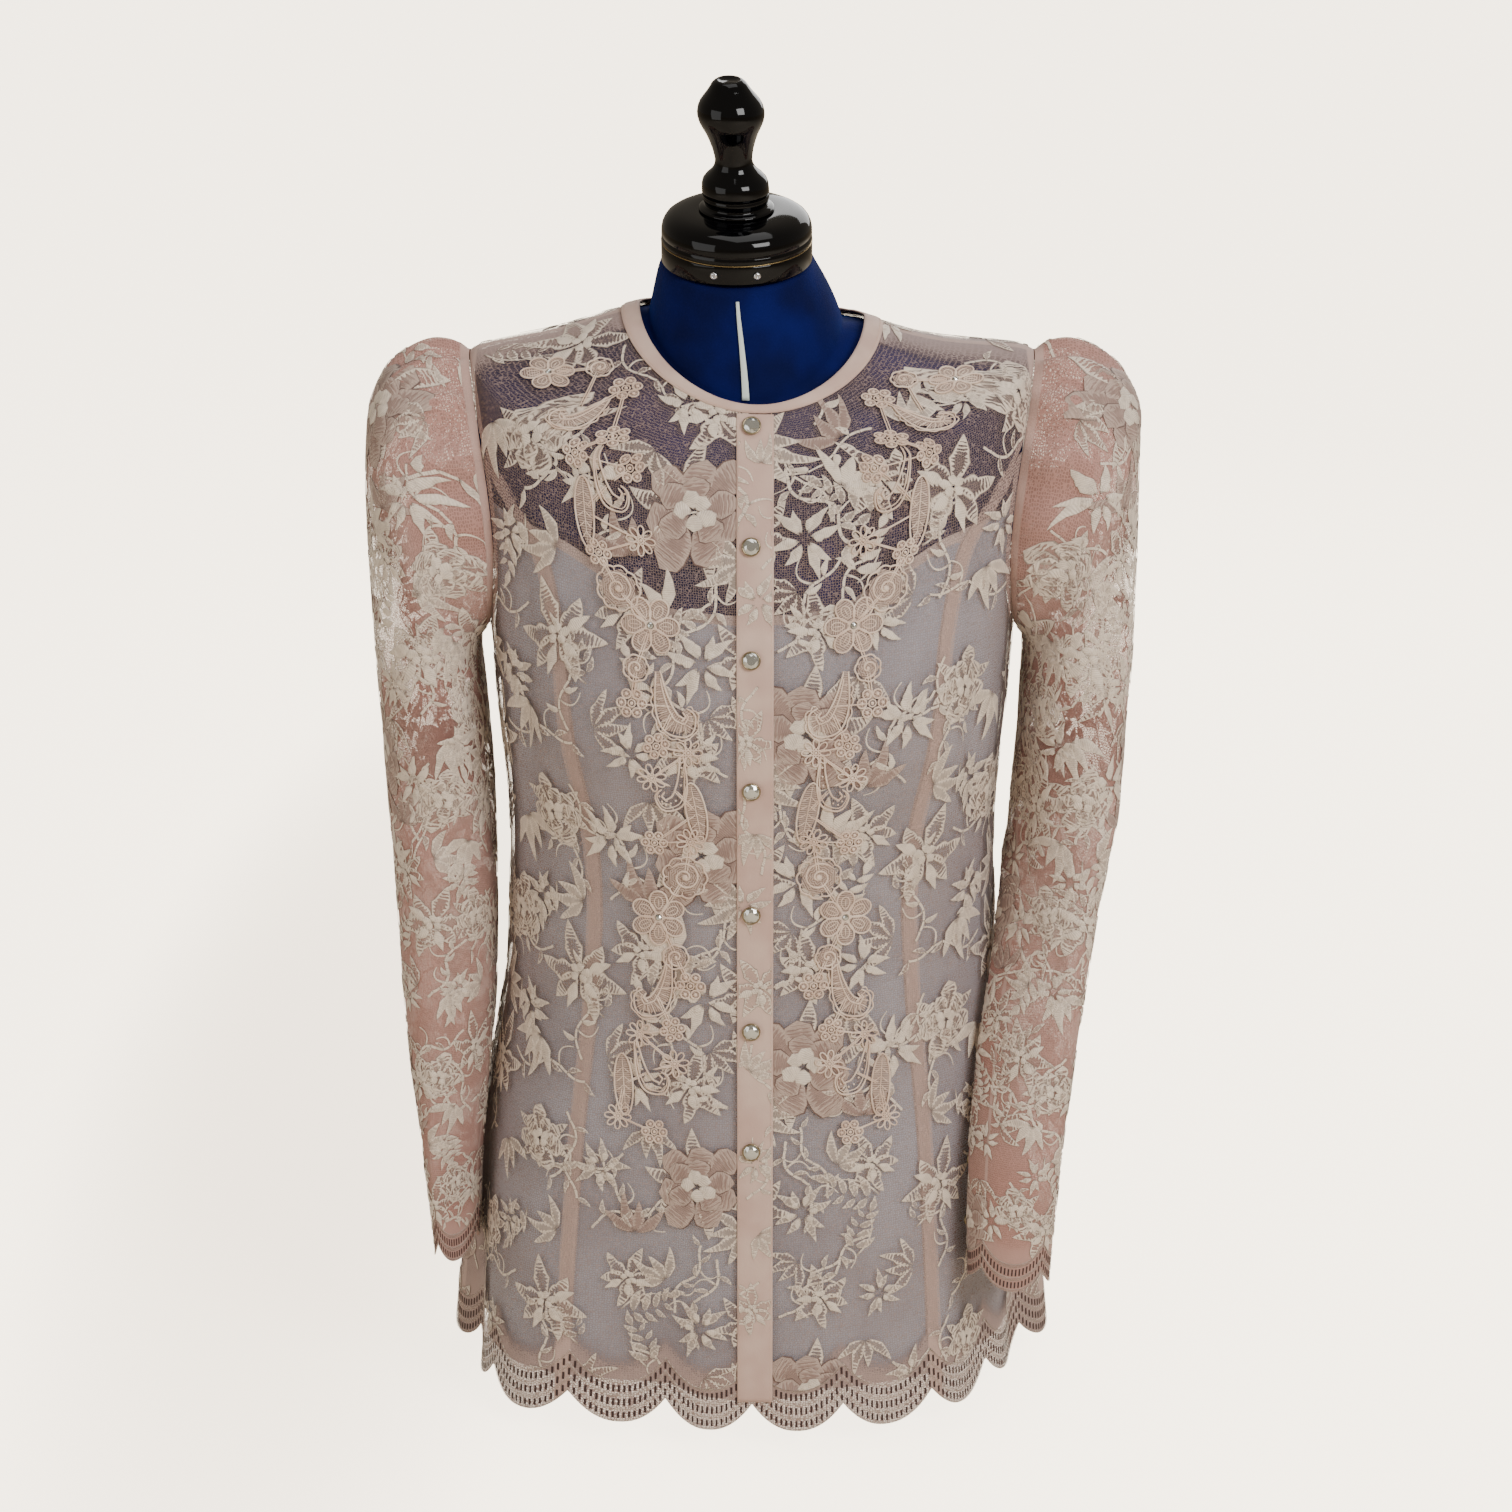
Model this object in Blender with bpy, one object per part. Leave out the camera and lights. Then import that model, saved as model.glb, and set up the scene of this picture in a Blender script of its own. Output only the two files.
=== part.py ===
# Lace top with puff-head sleeves, buttoned down the front, worn by a limbless dress form.
# Metres, +Z up. The front faces -Y, and the origin is the centre of the foot's underside.
import math

import bpy
import numpy as np
from mathutils import Vector, geometry
from mathutils.bvhtree import BVHTree

# Cloth sizes
LACE_WALL = 0.0012
LINING_WALL = 0.0010
LINING_GAP = 0.0011
SEAM_GAP = 0.0003
BACK_LINING_GAP = 0.0016

# The body at its main levels, from the neck edge down. "level" is roughly metres of cloth
# below the neck edge, and form_ease is how far the dress form lies inside the cloth.
BODY_COLUMNS = (
    "level", "front_z", "side_z", "back_z", "half_width", "front_y", "back_y", "form_ease",
)
BODY_ROWS = (
    (0.000, 0.7210, 0.7680, 0.7625, 0.0745, 0.0830, 0.0620, 0.0019),  # neck edge
    (0.030, 0.6990, 0.7530, 0.7435, 0.1280, 0.0960, 0.0840, 0.0036),  # middle of the shoulder
    (0.060, 0.6740, 0.7420, 0.7210, 0.1880, 0.1070, 0.1000, 0.0044),  # shoulder tip
    (0.100, 0.6400, 0.7000, 0.6800, 0.1920, 0.1180, 0.1060, 0.0072),
    (0.150, 0.5940, 0.6180, 0.6240, 0.1860, 0.1300, 0.1060, 0.0098),  # across the chest
    (0.200, 0.5480, 0.5560, 0.5620, 0.1780, 0.1380, 0.1030, 0.0104),  # underarm
    (0.250, 0.4980, 0.5020, 0.5040, 0.1740, 0.1400, 0.0980, 0.0088),  # bust
    (0.330, 0.4180, 0.4200, 0.4220, 0.1680, 0.1340, 0.0920, 0.0090),  # waist
    (0.420, 0.3280, 0.3280, 0.3300, 0.1710, 0.1330, 0.0980, 0.0120),
    (0.540, 0.2080, 0.2080, 0.2080, 0.1880, 0.1400, 0.1140, 0.0200),  # hip
    (0.660, 0.0880, 0.0880, 0.0880, 0.2020, 0.1480, 0.1260, 0.0360),
    (0.730, 0.0180, 0.0180, 0.0180, 0.2080, 0.1530, 0.1320, 0.0420),  # scallop tips
)
SHOULDER_LEVEL = 0.060
UNDERARM_LEVEL = 0.200
HEM_LEVEL = 0.730
ROUND_SHARE = 0.08  # evens out the spacing around the body
CORNER_FULLNESS = 0.035  # how much squarer than an ellipse a section is
FRONT_Z_POWER = 1.5
SHOULDER_TILT = 0.06  # the wearer's left shoulder hangs a little lower at the neck

# Soft flutes of the skirt: angle from the centre front, how far the hem moves out, the
# height where the flute starts and its half width.
FLUTE_COLUMNS = ("around", "out", "top_z", "width")
FLUTES = (
    (20.0, 0.004, 0.30, 10.0),
    (42.0, 0.003, 0.30, 9.0),
    (61.0, -0.013, 0.34, 14.0),
    (77.0, -0.012, 0.26, 8.0),
    (98.0, 0.010, 0.34, 13.0),
    (126.0, -0.009, 0.30, 11.0),
    (152.0, 0.006, 0.32, 12.0),
    (180.0, -0.005, 0.28, 10.0),
    (-22.0, -0.004, 0.28, 9.0),
    (-50.0, 0.011, 0.34, 13.0),
    (-79.0, -0.010, 0.26, 8.0),
    (-98.0, 0.011, 0.34, 13.0),
    (-128.0, -0.008, 0.30, 11.0),
    (-154.0, 0.006, 0.30, 12.0),
)

# Bust fullness, which the princess seams shape
BUST_AROUND = 38.0
BUST_LEVEL = 0.235
BUST_OUT = 0.010
BUST_WIDTH = 24.0
BUST_HEIGHT = 0.065

# Armhole, an oval in angle and level
ARMHOLE_HALF_ANGLE = 24.0

# Where the panels have their rows
FRONT_LEVELS = (
    0.000, 0.030, 0.045, 0.060, 0.070, 0.095, 0.100, 0.112,
    0.130, 0.165, 0.190, 0.200, 0.250, 0.330, 0.420, 0.540, 0.660,
)
BACK_LEVELS = (
    0.000, 0.030, 0.045, 0.060, 0.070, 0.095,
    0.130, 0.165, 0.190, 0.200, 0.250, 0.330, 0.420, 0.540, 0.660,
)
SIDE_FRONT_TOP = 0.100

# Princess seams, from the armhole to the hem
PRINCESS_COLUMNS = ("level", "around")
PRINCESS_ROWS = (
    (0.095, 69.2),
    (0.100, 66.6),
    (0.112, 58.5),
    (0.130, 50.5),
    (0.165, 47.0),
    (0.218, 45.2),
    (0.356, 42.0),
    (0.467, 43.0),
    (0.600, 42.0),
    (0.730, 41.0),
)

# Hem scallops
HEM_SCALLOPS = 18
SCALLOP_DEPTH = 0.020
SCALLOP_STEPS = 4
SCALLOP_POWER = 2.2

# Lining, cut like the front and back but lower at the neck and shorter at the hem. The rows
# under its scooped top edge run from one level at the centre front to another at the seam.
SCOOP_COLUMNS = ("around", "top_level")
SCOOP_ROWS = ((0.0, 0.1520), (18.0, 0.1490), (34.0, 0.1290), (46.0, 0.1205), (54.0, 0.1205), (66.0, 0.1225))
SCOOP_SEAM_LEVEL = 0.1205
LINING_COLUMNS = ("centre_level", "seam_level")
LINING_FRONT_ROWS = (
    (0.152, 0.1205), (0.162, 0.130), (0.180, 0.165), (0.200, 0.200),
    (0.250, 0.250), (0.330, 0.330), (0.420, 0.420), (0.540, 0.540), (0.660, 0.660), (0.690, 0.690),
)
LINING_SIDE_LEVELS = (0.130, 0.165, 0.200, 0.250, 0.330, 0.420, 0.540, 0.660, 0.690)
LINING_BACK_LEVELS = (0.112,) + LINING_SIDE_LEVELS

# Sleeves, row by row from the armhole to the cuff. "outer" is the edge away from the body
# and "inner" the edge beside it, "turn" swings the flat of the sleeve round the vertical.
SLEEVE_COLUMNS = (
    "down", "outer_x", "outer_z", "inner_x", "inner_z", "middle_y", "half_depth", "turn",
)
SLEEVE_RIGHT = (  # the wearer's right, at -X
    (0.000, 0.1880, 0.7420, 0.1780, 0.5560, 0.000, 0.050, 0.0),
    (0.022, 0.2110, 0.7470, 0.1860, 0.5440, -0.002, 0.068, 0.0),
    (0.050, 0.2420, 0.7330, 0.1860, 0.5300, -0.004, 0.078, 0.0),
    (0.085, 0.2560, 0.7020, 0.1840, 0.5140, -0.006, 0.080, 0.0),
    (0.130, 0.2590, 0.6520, 0.1820, 0.4920, -0.008, 0.076, 0.0),
    (0.200, 0.2570, 0.5720, 0.1790, 0.4560, -0.012, 0.070, 0.0),
    (0.290, 0.2520, 0.4700, 0.1775, 0.4000, -0.016, 0.062, 0.0),
    (0.380, 0.2460, 0.3700, 0.1785, 0.3300, -0.024, 0.055, 6.0),
    (0.470, 0.2390, 0.2700, 0.1815, 0.2500, -0.034, 0.048, 14.0),
    (0.550, 0.2290, 0.1900, 0.1860, 0.1800, -0.042, 0.042, 22.0),
    (0.625, 0.2230, 0.1120, 0.1900, 0.1080, -0.046, 0.037, 26.0),
)
SLEEVE_LEFT = (  # the wearer's left, at +X, hangs further forward
    (0.000, 0.1880, 0.7420, 0.1780, 0.5560, 0.000, 0.050, 0.0),
    (0.022, 0.2110, 0.7470, 0.1860, 0.5440, -0.002, 0.068, 0.0),
    (0.050, 0.2440, 0.7330, 0.1860, 0.5300, -0.004, 0.078, 0.0),
    (0.085, 0.2590, 0.7020, 0.1850, 0.5140, -0.006, 0.080, 0.0),
    (0.130, 0.2590, 0.6520, 0.1840, 0.4920, -0.010, 0.076, 0.0),
    (0.200, 0.2570, 0.5720, 0.1820, 0.4560, -0.018, 0.070, 6.0),
    (0.290, 0.2500, 0.4700, 0.1770, 0.4060, -0.034, 0.062, 16.0),
    (0.380, 0.2325, 0.3710, 0.1655, 0.3450, -0.060, 0.052, 28.0),
    (0.470, 0.2190, 0.2720, 0.1530, 0.2620, -0.089, 0.042, 38.0),
    (0.550, 0.2100, 0.1930, 0.1490, 0.1890, -0.107, 0.034, 42.0),
    (0.625, 0.2050, 0.1150, 0.1490, 0.1190, -0.114, 0.029, 42.0),
)
SLEEVES = {"right": (-1, SLEEVE_RIGHT), "left": (1, SLEEVE_LEFT)}
SLEEVE_LEVELS = (0.0, 0.010, 0.024, 0.050, 0.095, 0.160, 0.245, 0.340, 0.440, 0.540)
SLEEVE_STEPS = 32
SLEEVE_STAND_OFF = 0.0006
SLEEVE_BLEND = 0.050
CLEAR_OF_BODY = 0.0062
GATHERS = 32
GATHER_OUT = 0.0042
GATHER_LENGTH = 0.060
GATHER_SPREAD = 95.0
CUFF_SCALLOPS = 4
CUFF_SCALLOP_DEPTH = 0.014
CUFF_LEVEL = 0.625

# Band, binding, buttons
BAND_LEFT = -0.0100  # metres from the centre front
BAND_RIGHT = 0.0140
BAND_WALL = 0.0012
BAND_GAP = 0.0006
BAND_STEPS = 3
BAND_TOP_LEVEL = 0.0085
BAND_LOWEST = 0.708
BINDING_WIDTH = 0.007
BINDING_STEPS = 36
BUTTON_LEVELS = (0.018, 0.105, 0.182, 0.270, 0.358, 0.441, 0.526)
BUTTON_AROUND = -0.2
BUTTON_RADIUS = 0.0062
BUTTON_HEIGHT = 0.0042
BUTTON_SIDES = 8
BUTTON_PROFILE = ((0.60, 0.0), (1.0, 0.35), (0.94, 0.50), (0.50, 1.0))
CUFF_BUTTON_DOWN = (0.545, 0.590)
CUFF_BUTTON_TURN = {"right": 20.0, "left": -115.0}
CUFF_BUTTON_RADIUS = 0.0045
CUFF_BUTTON_LIFT = 0.0004

# Guipure trims down each front, with their motifs in order from the shoulder. Sizes are half
# widths, "turn" is in degrees and "mirror" is -1 where the motif faces the other way.
MOTIF_COLUMNS = ("kind", "level", "around", "size", "turn", "mirror")
MOTIF_ROWS = (
    ("flower", 0.038, 66.0, 0.0170, 10, 1),
    ("round", 0.023, 60.5, 0.0085, 0, 1),
    ("scroll", 0.042, 48.5, 0.0215, -25, -1),
    ("small_flower", 0.022, 48.5, 0.0100, 0, 1),
    ("small_flower", 0.045, 36.5, 0.0100, 12, 1),
    ("small_flower", 0.062, 40.5, 0.0092, 0, 1),
    ("small_flower", 0.060, 28.0, 0.0100, 20, 1),
    ("slim_scroll", 0.074, 32.0, 0.0230, 8, 1),
    ("leaf", 0.098, 37.5, 0.0220, 6, 1),
    ("daisy", 0.108, 25.0, 0.0098, 0, 1),
    ("small_flower", 0.121, 34.5, 0.0092, 0, 1),
    ("round", 0.140, 30.5, 0.0150, 0, 1),
    ("flower", 0.161, 23.5, 0.0195, 0, 1),
    ("round", 0.190, 27.0, 0.0088, 0, 1),
    ("small_flower", 0.213, 28.0, 0.0104, 0, 1),
    ("scroll", 0.214, 18.5, 0.0240, 0, 1),
    ("small_flower", 0.240, 22.8, 0.0092, 15, 1),
    ("daisy", 0.244, 15.6, 0.0095, 0, 1),
    ("daisy", 0.262, 24.3, 0.0098, 10, 1),
    ("slim_scroll", 0.268, 19.8, 0.0225, -6, -1),
    ("leaf", 0.286, 14.2, 0.0220, -8, -1),
    ("small_flower", 0.309, 25.0, 0.0092, 0, 1),
    ("daisy", 0.307, 16.0, 0.0095, 20, 1),
    ("round", 0.333, 17.6, 0.0150, 0, 1),
    ("flower", 0.363, 24.6, 0.0195, 30, 1),
    ("round", 0.390, 20.0, 0.0088, 0, 1),
    ("small_flower", 0.410, 16.2, 0.0104, 0, 1),
    ("scroll", 0.414, 25.6, 0.0240, 0, -1),
    ("small_flower", 0.442, 20.6, 0.0092, 15, 1),
    ("daisy", 0.447, 29.0, 0.0095, 0, 1),
    ("daisy", 0.466, 19.8, 0.0098, 10, 1),
    ("slim_scroll", 0.472, 25.6, 0.0225, 6, 1),
    ("leaf", 0.484, 32.2, 0.0220, 8, 1),
    ("daisy", 0.507, 33.0, 0.0095, 0, 1),
    ("small_flower", 0.515, 24.0, 0.0092, 0, 1),
)
# Points of a scroll's middle line and its half width there, as shares of the motif's size
SCROLL_COLUMNS = ("away", "down", "half_width")
SCROLL_ROWS = (
    (0.43, -0.96, 0.06), (0.38, -0.45, 0.14), (0.28, 0.05, 0.23), (0.05, 0.48, 0.29),
    (-0.27, 0.58, 0.24), (-0.43, 0.28, 0.14), (-0.26, 0.08, 0.07),
)
SLIM_SHARE = 0.72
PETALS = {"flower": 6, "small_flower": 5, "daisy": 6, "round": 8}
PETAL_DEPTH = {"flower": 0.38, "small_flower": 0.36, "daisy": 0.34, "round": 0.0}
BLUNT_FROM = 0.015
LEAF_HALF_WIDTH = 0.30
STEM_HALF_WIDTH = 0.0018
STEM_FROM = 0.35
MERGE_DISTANCE = 0.0008
FLAT_METRES_PER_DEGREE = 0.0025
TRIM_GAP = 0.0011
TRIM_WALL = 0.0013

# Dress form
FORM_STEPS = 32
FORM_LEVELS = (
    0.660, 0.600, 0.540, 0.480, 0.420, 0.370, 0.320, 0.275, 0.240,
    0.205, 0.170, 0.135, 0.105, 0.080, 0.060, 0.045, 0.030, 0.003,
)
FORM_BOTTOM_Z = 0.030
FORM_BOTTOM_ROUND = 0.012
NECK_LEAN_X = (-0.0040, -0.0095)
NECK_COLUMNS = ("rise", "half_width", "front_y", "back_y", "front_z", "side_z", "back_z")
NECK_ROWS = (
    (0.00, 0.0650, 0.0780, 0.0545, 0.7185, 0.7640, 0.7595),
    (0.25, 0.0612, 0.0760, 0.0485, 0.7380, 0.7775, 0.7755),
    (0.60, 0.0555, 0.0725, 0.0395, 0.7660, 0.7930, 0.7980),
    (1.00, 0.0500, 0.0690, 0.0310, 0.7925, 0.8045, 0.8165),
)
HEAD_CENTRE = (-0.0100, -0.0185, 0.8055)
HEAD_TILT = math.radians(13.0)
HEAD_STEPS = 18
CAP_RADIUS = 0.0496
RING_PROFILE = ((0.0478, 0.0), (CAP_RADIUS, 0.0012), (CAP_RADIUS, 0.0132), (0.0486, 0.0140))
DOME_PROFILE = (
    (0.0484, 0.0143), (0.0494, 0.0150), (0.0494, 0.0215), (0.0482, 0.0268),
    (0.0452, 0.0306), (0.0400, 0.0333), (0.0300, 0.0348),
)
FINIAL_PROFILE = (
    (0.0235, 0.0351), (0.0247, 0.0360), (0.0236, 0.0373), (0.0206, 0.0390),
    (0.0216, 0.0425), (0.0220, 0.0480), (0.0210, 0.0555), (0.0152, 0.0616),
    (0.0124, 0.0660), (0.0120, 0.0690), (0.0132, 0.0760), (0.0170, 0.0870),
    (0.0210, 0.0950), (0.0219, 0.1000), (0.0208, 0.1052), (0.0178, 0.1105),
    (0.0130, 0.1170), (0.0072, 0.1222),
)
HEAD_LEAN = 0.055  # the finial leans this much towards -X for its height
SCREW_RADIUS = 0.0026
SCREW_HEIGHT = 0.0016
SCREW_PROFILE = ((1.0, 0.0), (0.95, 0.55), (0.6, 1.0))
SCREW_TURNS = (-17.0, 15.5)
SCREW_UP = 0.0075
GAP_STRIP_RISE = (0.06, 0.90)
GAP_STRIP_HALF_ANGLE = (2.6, 1.4)
GAP_STRIP_WALL = 0.0010
GAP_STRIP_GAP = 0.0006
GAP_STRIP_STEPS = 5
FOOT_RADIUS = 0.078
FOOT_HEIGHT = 0.0297
FOOT_EDGE = 0.003


# Reading the tables

def column(rows, names, name):
    return np.array([row[names.index(name)] for row in rows])


def smooth_value(xs, ys, x):
    # Monotone cubic through the table's values, so that nothing overshoots between rows
    steps = np.diff(xs)
    slopes = np.diff(ys) / steps
    tangents = np.zeros(len(xs))
    tangents[0], tangents[-1] = slopes[0], slopes[-1]
    for i in range(1, len(xs) - 1):
        if slopes[i - 1] * slopes[i] > 0:
            before, after = 2 * steps[i] + steps[i - 1], steps[i] + 2 * steps[i - 1]
            tangents[i] = (before + after) / (before / slopes[i - 1] + after / slopes[i])
    x = min(max(x, xs[0]), xs[-1])
    i = min(int(np.searchsorted(xs, x, side="right")) - 1, len(steps) - 1)
    t = (x - xs[i]) / steps[i]
    return (
        (1 + 2 * t) * (1 - t) ** 2 * ys[i]
        + t * (1 - t) ** 2 * steps[i] * tangents[i]
        + t * t * (3 - 2 * t) * ys[i + 1]
        + t * t * (t - 1) * steps[i] * tangents[i + 1]
    )


def read_row(rows, names, x):
    xs = column(rows, names, names[0])
    return {name: smooth_value(xs, column(rows, names, name), x) for name in names[1:]}


def smooth_step(t):
    t = min(max(t, 0.0), 1.0)
    return t * t * (3 - 2 * t)


# The body surface

def section_point(around, row):
    angle = math.radians(around)
    turn = angle - ROUND_SHARE * math.sin(2 * angle)
    full = 1 + CORNER_FULLNESS * math.sin(2 * turn) ** 2
    ahead = math.cos(turn)
    end_z = row["front_z"] if ahead > 0 else row["back_z"]
    depth = row["front_y"] if ahead > 0 else row["back_y"]
    x = row["half_width"] * math.sin(turn) * full
    y = -depth * ahead * full
    z = row["side_z"] + (end_z - row["side_z"]) * abs(ahead) ** FRONT_Z_POWER
    return Vector((x, y, z))


def shoulder_tilt(point, share):
    return point - Vector((0, 0, SHOULDER_TILT * point.x * (1 - smooth_step(share))))


def angle_apart(a, b):
    return (a - b + 180) % 360 - 180


def bust_out(around, level):
    side = angle_apart(abs(angle_apart(around, 0)), BUST_AROUND) / BUST_WIDTH
    rise = (level - BUST_LEVEL) / BUST_HEIGHT
    return BUST_OUT * math.exp(-side * side - rise * rise)


def flute_out(around, z):
    total = 0.0
    for flute_around, out, top_z, width in FLUTES:
        near = angle_apart(around, flute_around) / width
        hang = smooth_step((top_z - z) / (top_z - 0.02))
        total += out * math.exp(-near * near) * hang
    return total


def body_point(around, level, fluted=True):
    row = read_row(BODY_ROWS, BODY_COLUMNS, level)
    point = section_point(around, row)
    away = Vector((point.x, point.y, 0)).normalized()
    out = bust_out(around, level) + (flute_out(around, point.z) if fluted else 0)
    return shoulder_tilt(point + away * out, level / SHOULDER_LEVEL)


def body_normal(around, level, fluted=True):
    step = 0.4
    rise = 0.002
    across = body_point(around + step, level, fluted) - body_point(around - step, level, fluted)
    above = body_point(around, max(level - rise, 0), fluted)
    below = body_point(around, min(level + rise, HEM_LEVEL), fluted)
    return across.cross(above - below).normalized()


def body_offset(around, level, out, fluted=True):
    return body_point(around, level, fluted) + body_normal(around, level, fluted) * out


def cloth_offset(around, level, out, fluted=True):
    # The same, but on the flat facets between the panels' rows
    rows = [*FRONT_LEVELS, max(scallop_level(around), level + 1e-6)]
    i = max(k for k in range(len(rows) - 1) if rows[k] <= level + 1e-9)
    share = (level - rows[i]) / (rows[i + 1] - rows[i])
    above = body_offset(around, rows[i], out, fluted)
    return above.lerp(body_offset(around, rows[i + 1], out, fluted), share)


# Seam lines

def armhole_around(level):
    middle = (SHOULDER_LEVEL + UNDERARM_LEVEL) / 2
    half = (UNDERARM_LEVEL - SHOULDER_LEVEL) / 2
    if abs(level - middle) >= half:
        return 90.0
    return 90.0 - ARMHOLE_HALF_ANGLE * math.sqrt(1 - ((level - middle) / half) ** 2)


def princess_around(level):
    if level <= PRINCESS_ROWS[0][0]:
        return armhole_around(level)
    return min(read_row(PRINCESS_ROWS, PRINCESS_COLUMNS, level)["around"], armhole_around(level))


def scallop_level(around):
    lobe = 360.0 / HEM_SCALLOPS
    across = 2 * (abs(around) % lobe) / lobe - 1
    return HEM_LEVEL - SCALLOP_DEPTH * abs(across) ** SCALLOP_POWER


def scoop_level(around):
    return read_row(SCOOP_ROWS, SCOOP_COLUMNS, abs(around))["top_level"]


def metres_per_degree(around, level):
    return (body_point(around + 0.5, level) - body_point(around - 0.5, level)).length


def metres_per_level(around, level):
    below = min(level + 0.004, HEM_LEVEL)
    above = max(level - 0.004, 0.0)
    return (body_point(around, below) - body_point(around, above)).length / (below - above)


# Making objects

def finish(name, size):
    colour, roughness, metallic = {
        "lace": ((0.66, 0.52, 0.46), 0.75, 0.0),
        "lining": ((0.50, 0.42, 0.41), 0.6, 0.0),
        "band": ((0.72, 0.56, 0.48), 0.7, 0.0),
        "trim": ((0.78, 0.68, 0.58), 0.8, 0.0),
        "jewel": ((0.75, 0.74, 0.72), 0.15, 0.9),
        "form_cloth": ((0.01, 0.02, 0.13), 0.85, 0.0),
        "form_gloss": ((0.01, 0.01, 0.012), 0.12, 0.0),
        "pale_plastic": ((0.80, 0.85, 0.80), 0.4, 0.0),
        "screw_steel": ((0.75, 0.75, 0.76), 0.3, 1.0),
    }[name]
    material = bpy.data.materials.get(name) or bpy.data.materials.new(name)
    material.use_nodes = True
    shader = material.node_tree.nodes["Principled BSDF"]
    shader.inputs["Base Color"].default_value = (*colour, 1)
    shader.inputs["Roughness"].default_value = roughness
    shader.inputs["Metallic"].default_value = metallic
    size.materials.append(material)


def mesh_object(name, points, faces, material):
    mesh = bpy.data.meshes.new(name)
    mesh.from_pydata([tuple(p) for p in points], [], faces)
    mesh.validate()
    mesh.shade_smooth()
    finish(material, mesh)
    made = bpy.data.objects.new(name, mesh)
    bpy.context.scene.collection.objects.link(made)
    return made


def sheet_faces(rows, columns, joined):
    wide = columns if joined else columns - 1
    faces = []
    for i in range(rows - 1):
        for j in range(wide):
            k = (j + 1) % columns
            above, below = i * columns, (i + 1) * columns
            faces.append((above + j, below + j, below + k))
            faces.append((above + j, below + k, above + k))
    return faces


def two_sided_faces(rows, columns, joined):
    # Outer points come first, the inner ones follow in the same order
    inner = rows * columns
    outside = sheet_faces(rows, columns, joined)
    faces = outside + [tuple(inner + v for v in face[::-1]) for face in outside]
    for j in range(columns if joined else columns - 1):
        k = (j + 1) % columns
        top, low = (j, k), ((rows - 1) * columns + k, (rows - 1) * columns + j)
        for a, b in (top, low):
            faces.append((a, b, inner + b, inner + a))
    if not joined:
        for i in range(rows - 1):
            left = ((i + 1) * columns, i * columns)
            right = ((i + 1) * columns - 1, (i + 2) * columns - 1)
            for a, b in (left, right):
                faces.append((a, b, inner + b, inner + a))
    return faces


def cloth_wall(name, outer, inner, material, joined=False, turned=False):
    # Two matching grids of points, closed along the edges
    faces = two_sided_faces(len(outer), len(outer[0]), joined)
    if turned:
        faces = [face[::-1] for face in faces]
    points = [p for row in outer for p in row] + [p for row in inner for p in row]
    return mesh_object(name, points, faces, material)


def surface_wall(name, places, outside, thickness, material, joined=False, turned=False, fluted=True):
    # Places are rows of (around, level); the wall stands between two offsets of the body
    outer = [[cloth_offset(a, v, outside, fluted) for a, v in row] for row in places]
    inner = [[cloth_offset(a, v, outside - thickness, fluted) for a, v in row] for row in places]
    return cloth_wall(name, outer, inner, material, joined, turned)


def thin_tube(name, grid, thickness, material, turned):
    # An open tube of quads whose normals face out, thickened inwards
    faces = sheet_faces(len(grid), len(grid[0]), True)
    if turned:
        faces = [face[::-1] for face in faces]
    made = mesh_object(name, [p for row in grid for p in row], faces, material)
    solid = made.modifiers.new("cloth thickness", "SOLIDIFY")
    solid.thickness = thickness
    solid.offset = -1
    solid.use_even_offset = True
    solid.use_rim = True
    return made


def closed_loft(name, rings, material):
    # Rings from bottom to top, capped at both ends
    columns = len(rings[0])
    faces = [face[::-1] for face in sheet_faces(len(rings), columns, True)]
    points = [p for ring in rings for p in ring]
    last = (len(rings) - 1) * columns
    faces.append(tuple(range(columns))[::-1])
    faces.append(tuple(last + j for j in range(columns)))
    return mesh_object(name, points, faces, material)


# Cloth of the body

def panel_arounds(side, columns, level, start, end):
    inset = SEAM_GAP / 2 / metres_per_degree((start(level) + end(level)) / 2, level)
    first, last = start(level) + inset, end(level) - inset
    return [side * (first + (last - first) * j / columns) for j in range(columns + 1)]


def centre_front(level):
    return 0.0


def back_start(level):
    return 180.0 - armhole_around(level)


def back_end(level):
    return 180.0 + armhole_around(level)


def hem_columns(degrees):
    return round(degrees * HEM_SCALLOPS * SCALLOP_STEPS / 360.0)


def panel_places(side, columns, levels, start, end):
    places = []
    for level in levels:
        places.append([(around, level) for around in panel_arounds(side, columns, level, start, end)])
    lowest = panel_arounds(side, columns, HEM_LEVEL, start, end)
    places.append([(around, scallop_level(around)) for around in lowest])
    return places


def lace_panels():
    side_levels = [level for level in FRONT_LEVELS if level >= SIDE_FRONT_TOP]
    for word, side in (("right", -1), ("left", 1)):
        places = panel_places(side, hem_columns(45), FRONT_LEVELS, centre_front, princess_around)
        surface_wall(f"front_{word}", places, 0, LACE_WALL, "lace", turned=side < 0)
        places = panel_places(side, hem_columns(45), side_levels, princess_around, armhole_around)
        surface_wall(f"side_front_{word}", places, 0, LACE_WALL, "lace", turned=side < 0)
    places = panel_places(1, hem_columns(180), BACK_LEVELS, back_start, back_end)
    surface_wall("back", places, 0, LACE_WALL, "lace")


def lining_front_places(side, columns):
    places = []
    scoop_drop = scoop_level(0) - SCOOP_SEAM_LEVEL
    for centre_level, seam_level in LINING_FRONT_ROWS:
        row = []
        for around in panel_arounds(side, columns, seam_level, centre_front, princess_around):
            share = (scoop_level(0) - scoop_level(around)) / scoop_drop
            row.append((around, centre_level + (seam_level - centre_level) * min(share, 1.0)))
        places.append(row)
    return places


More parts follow.
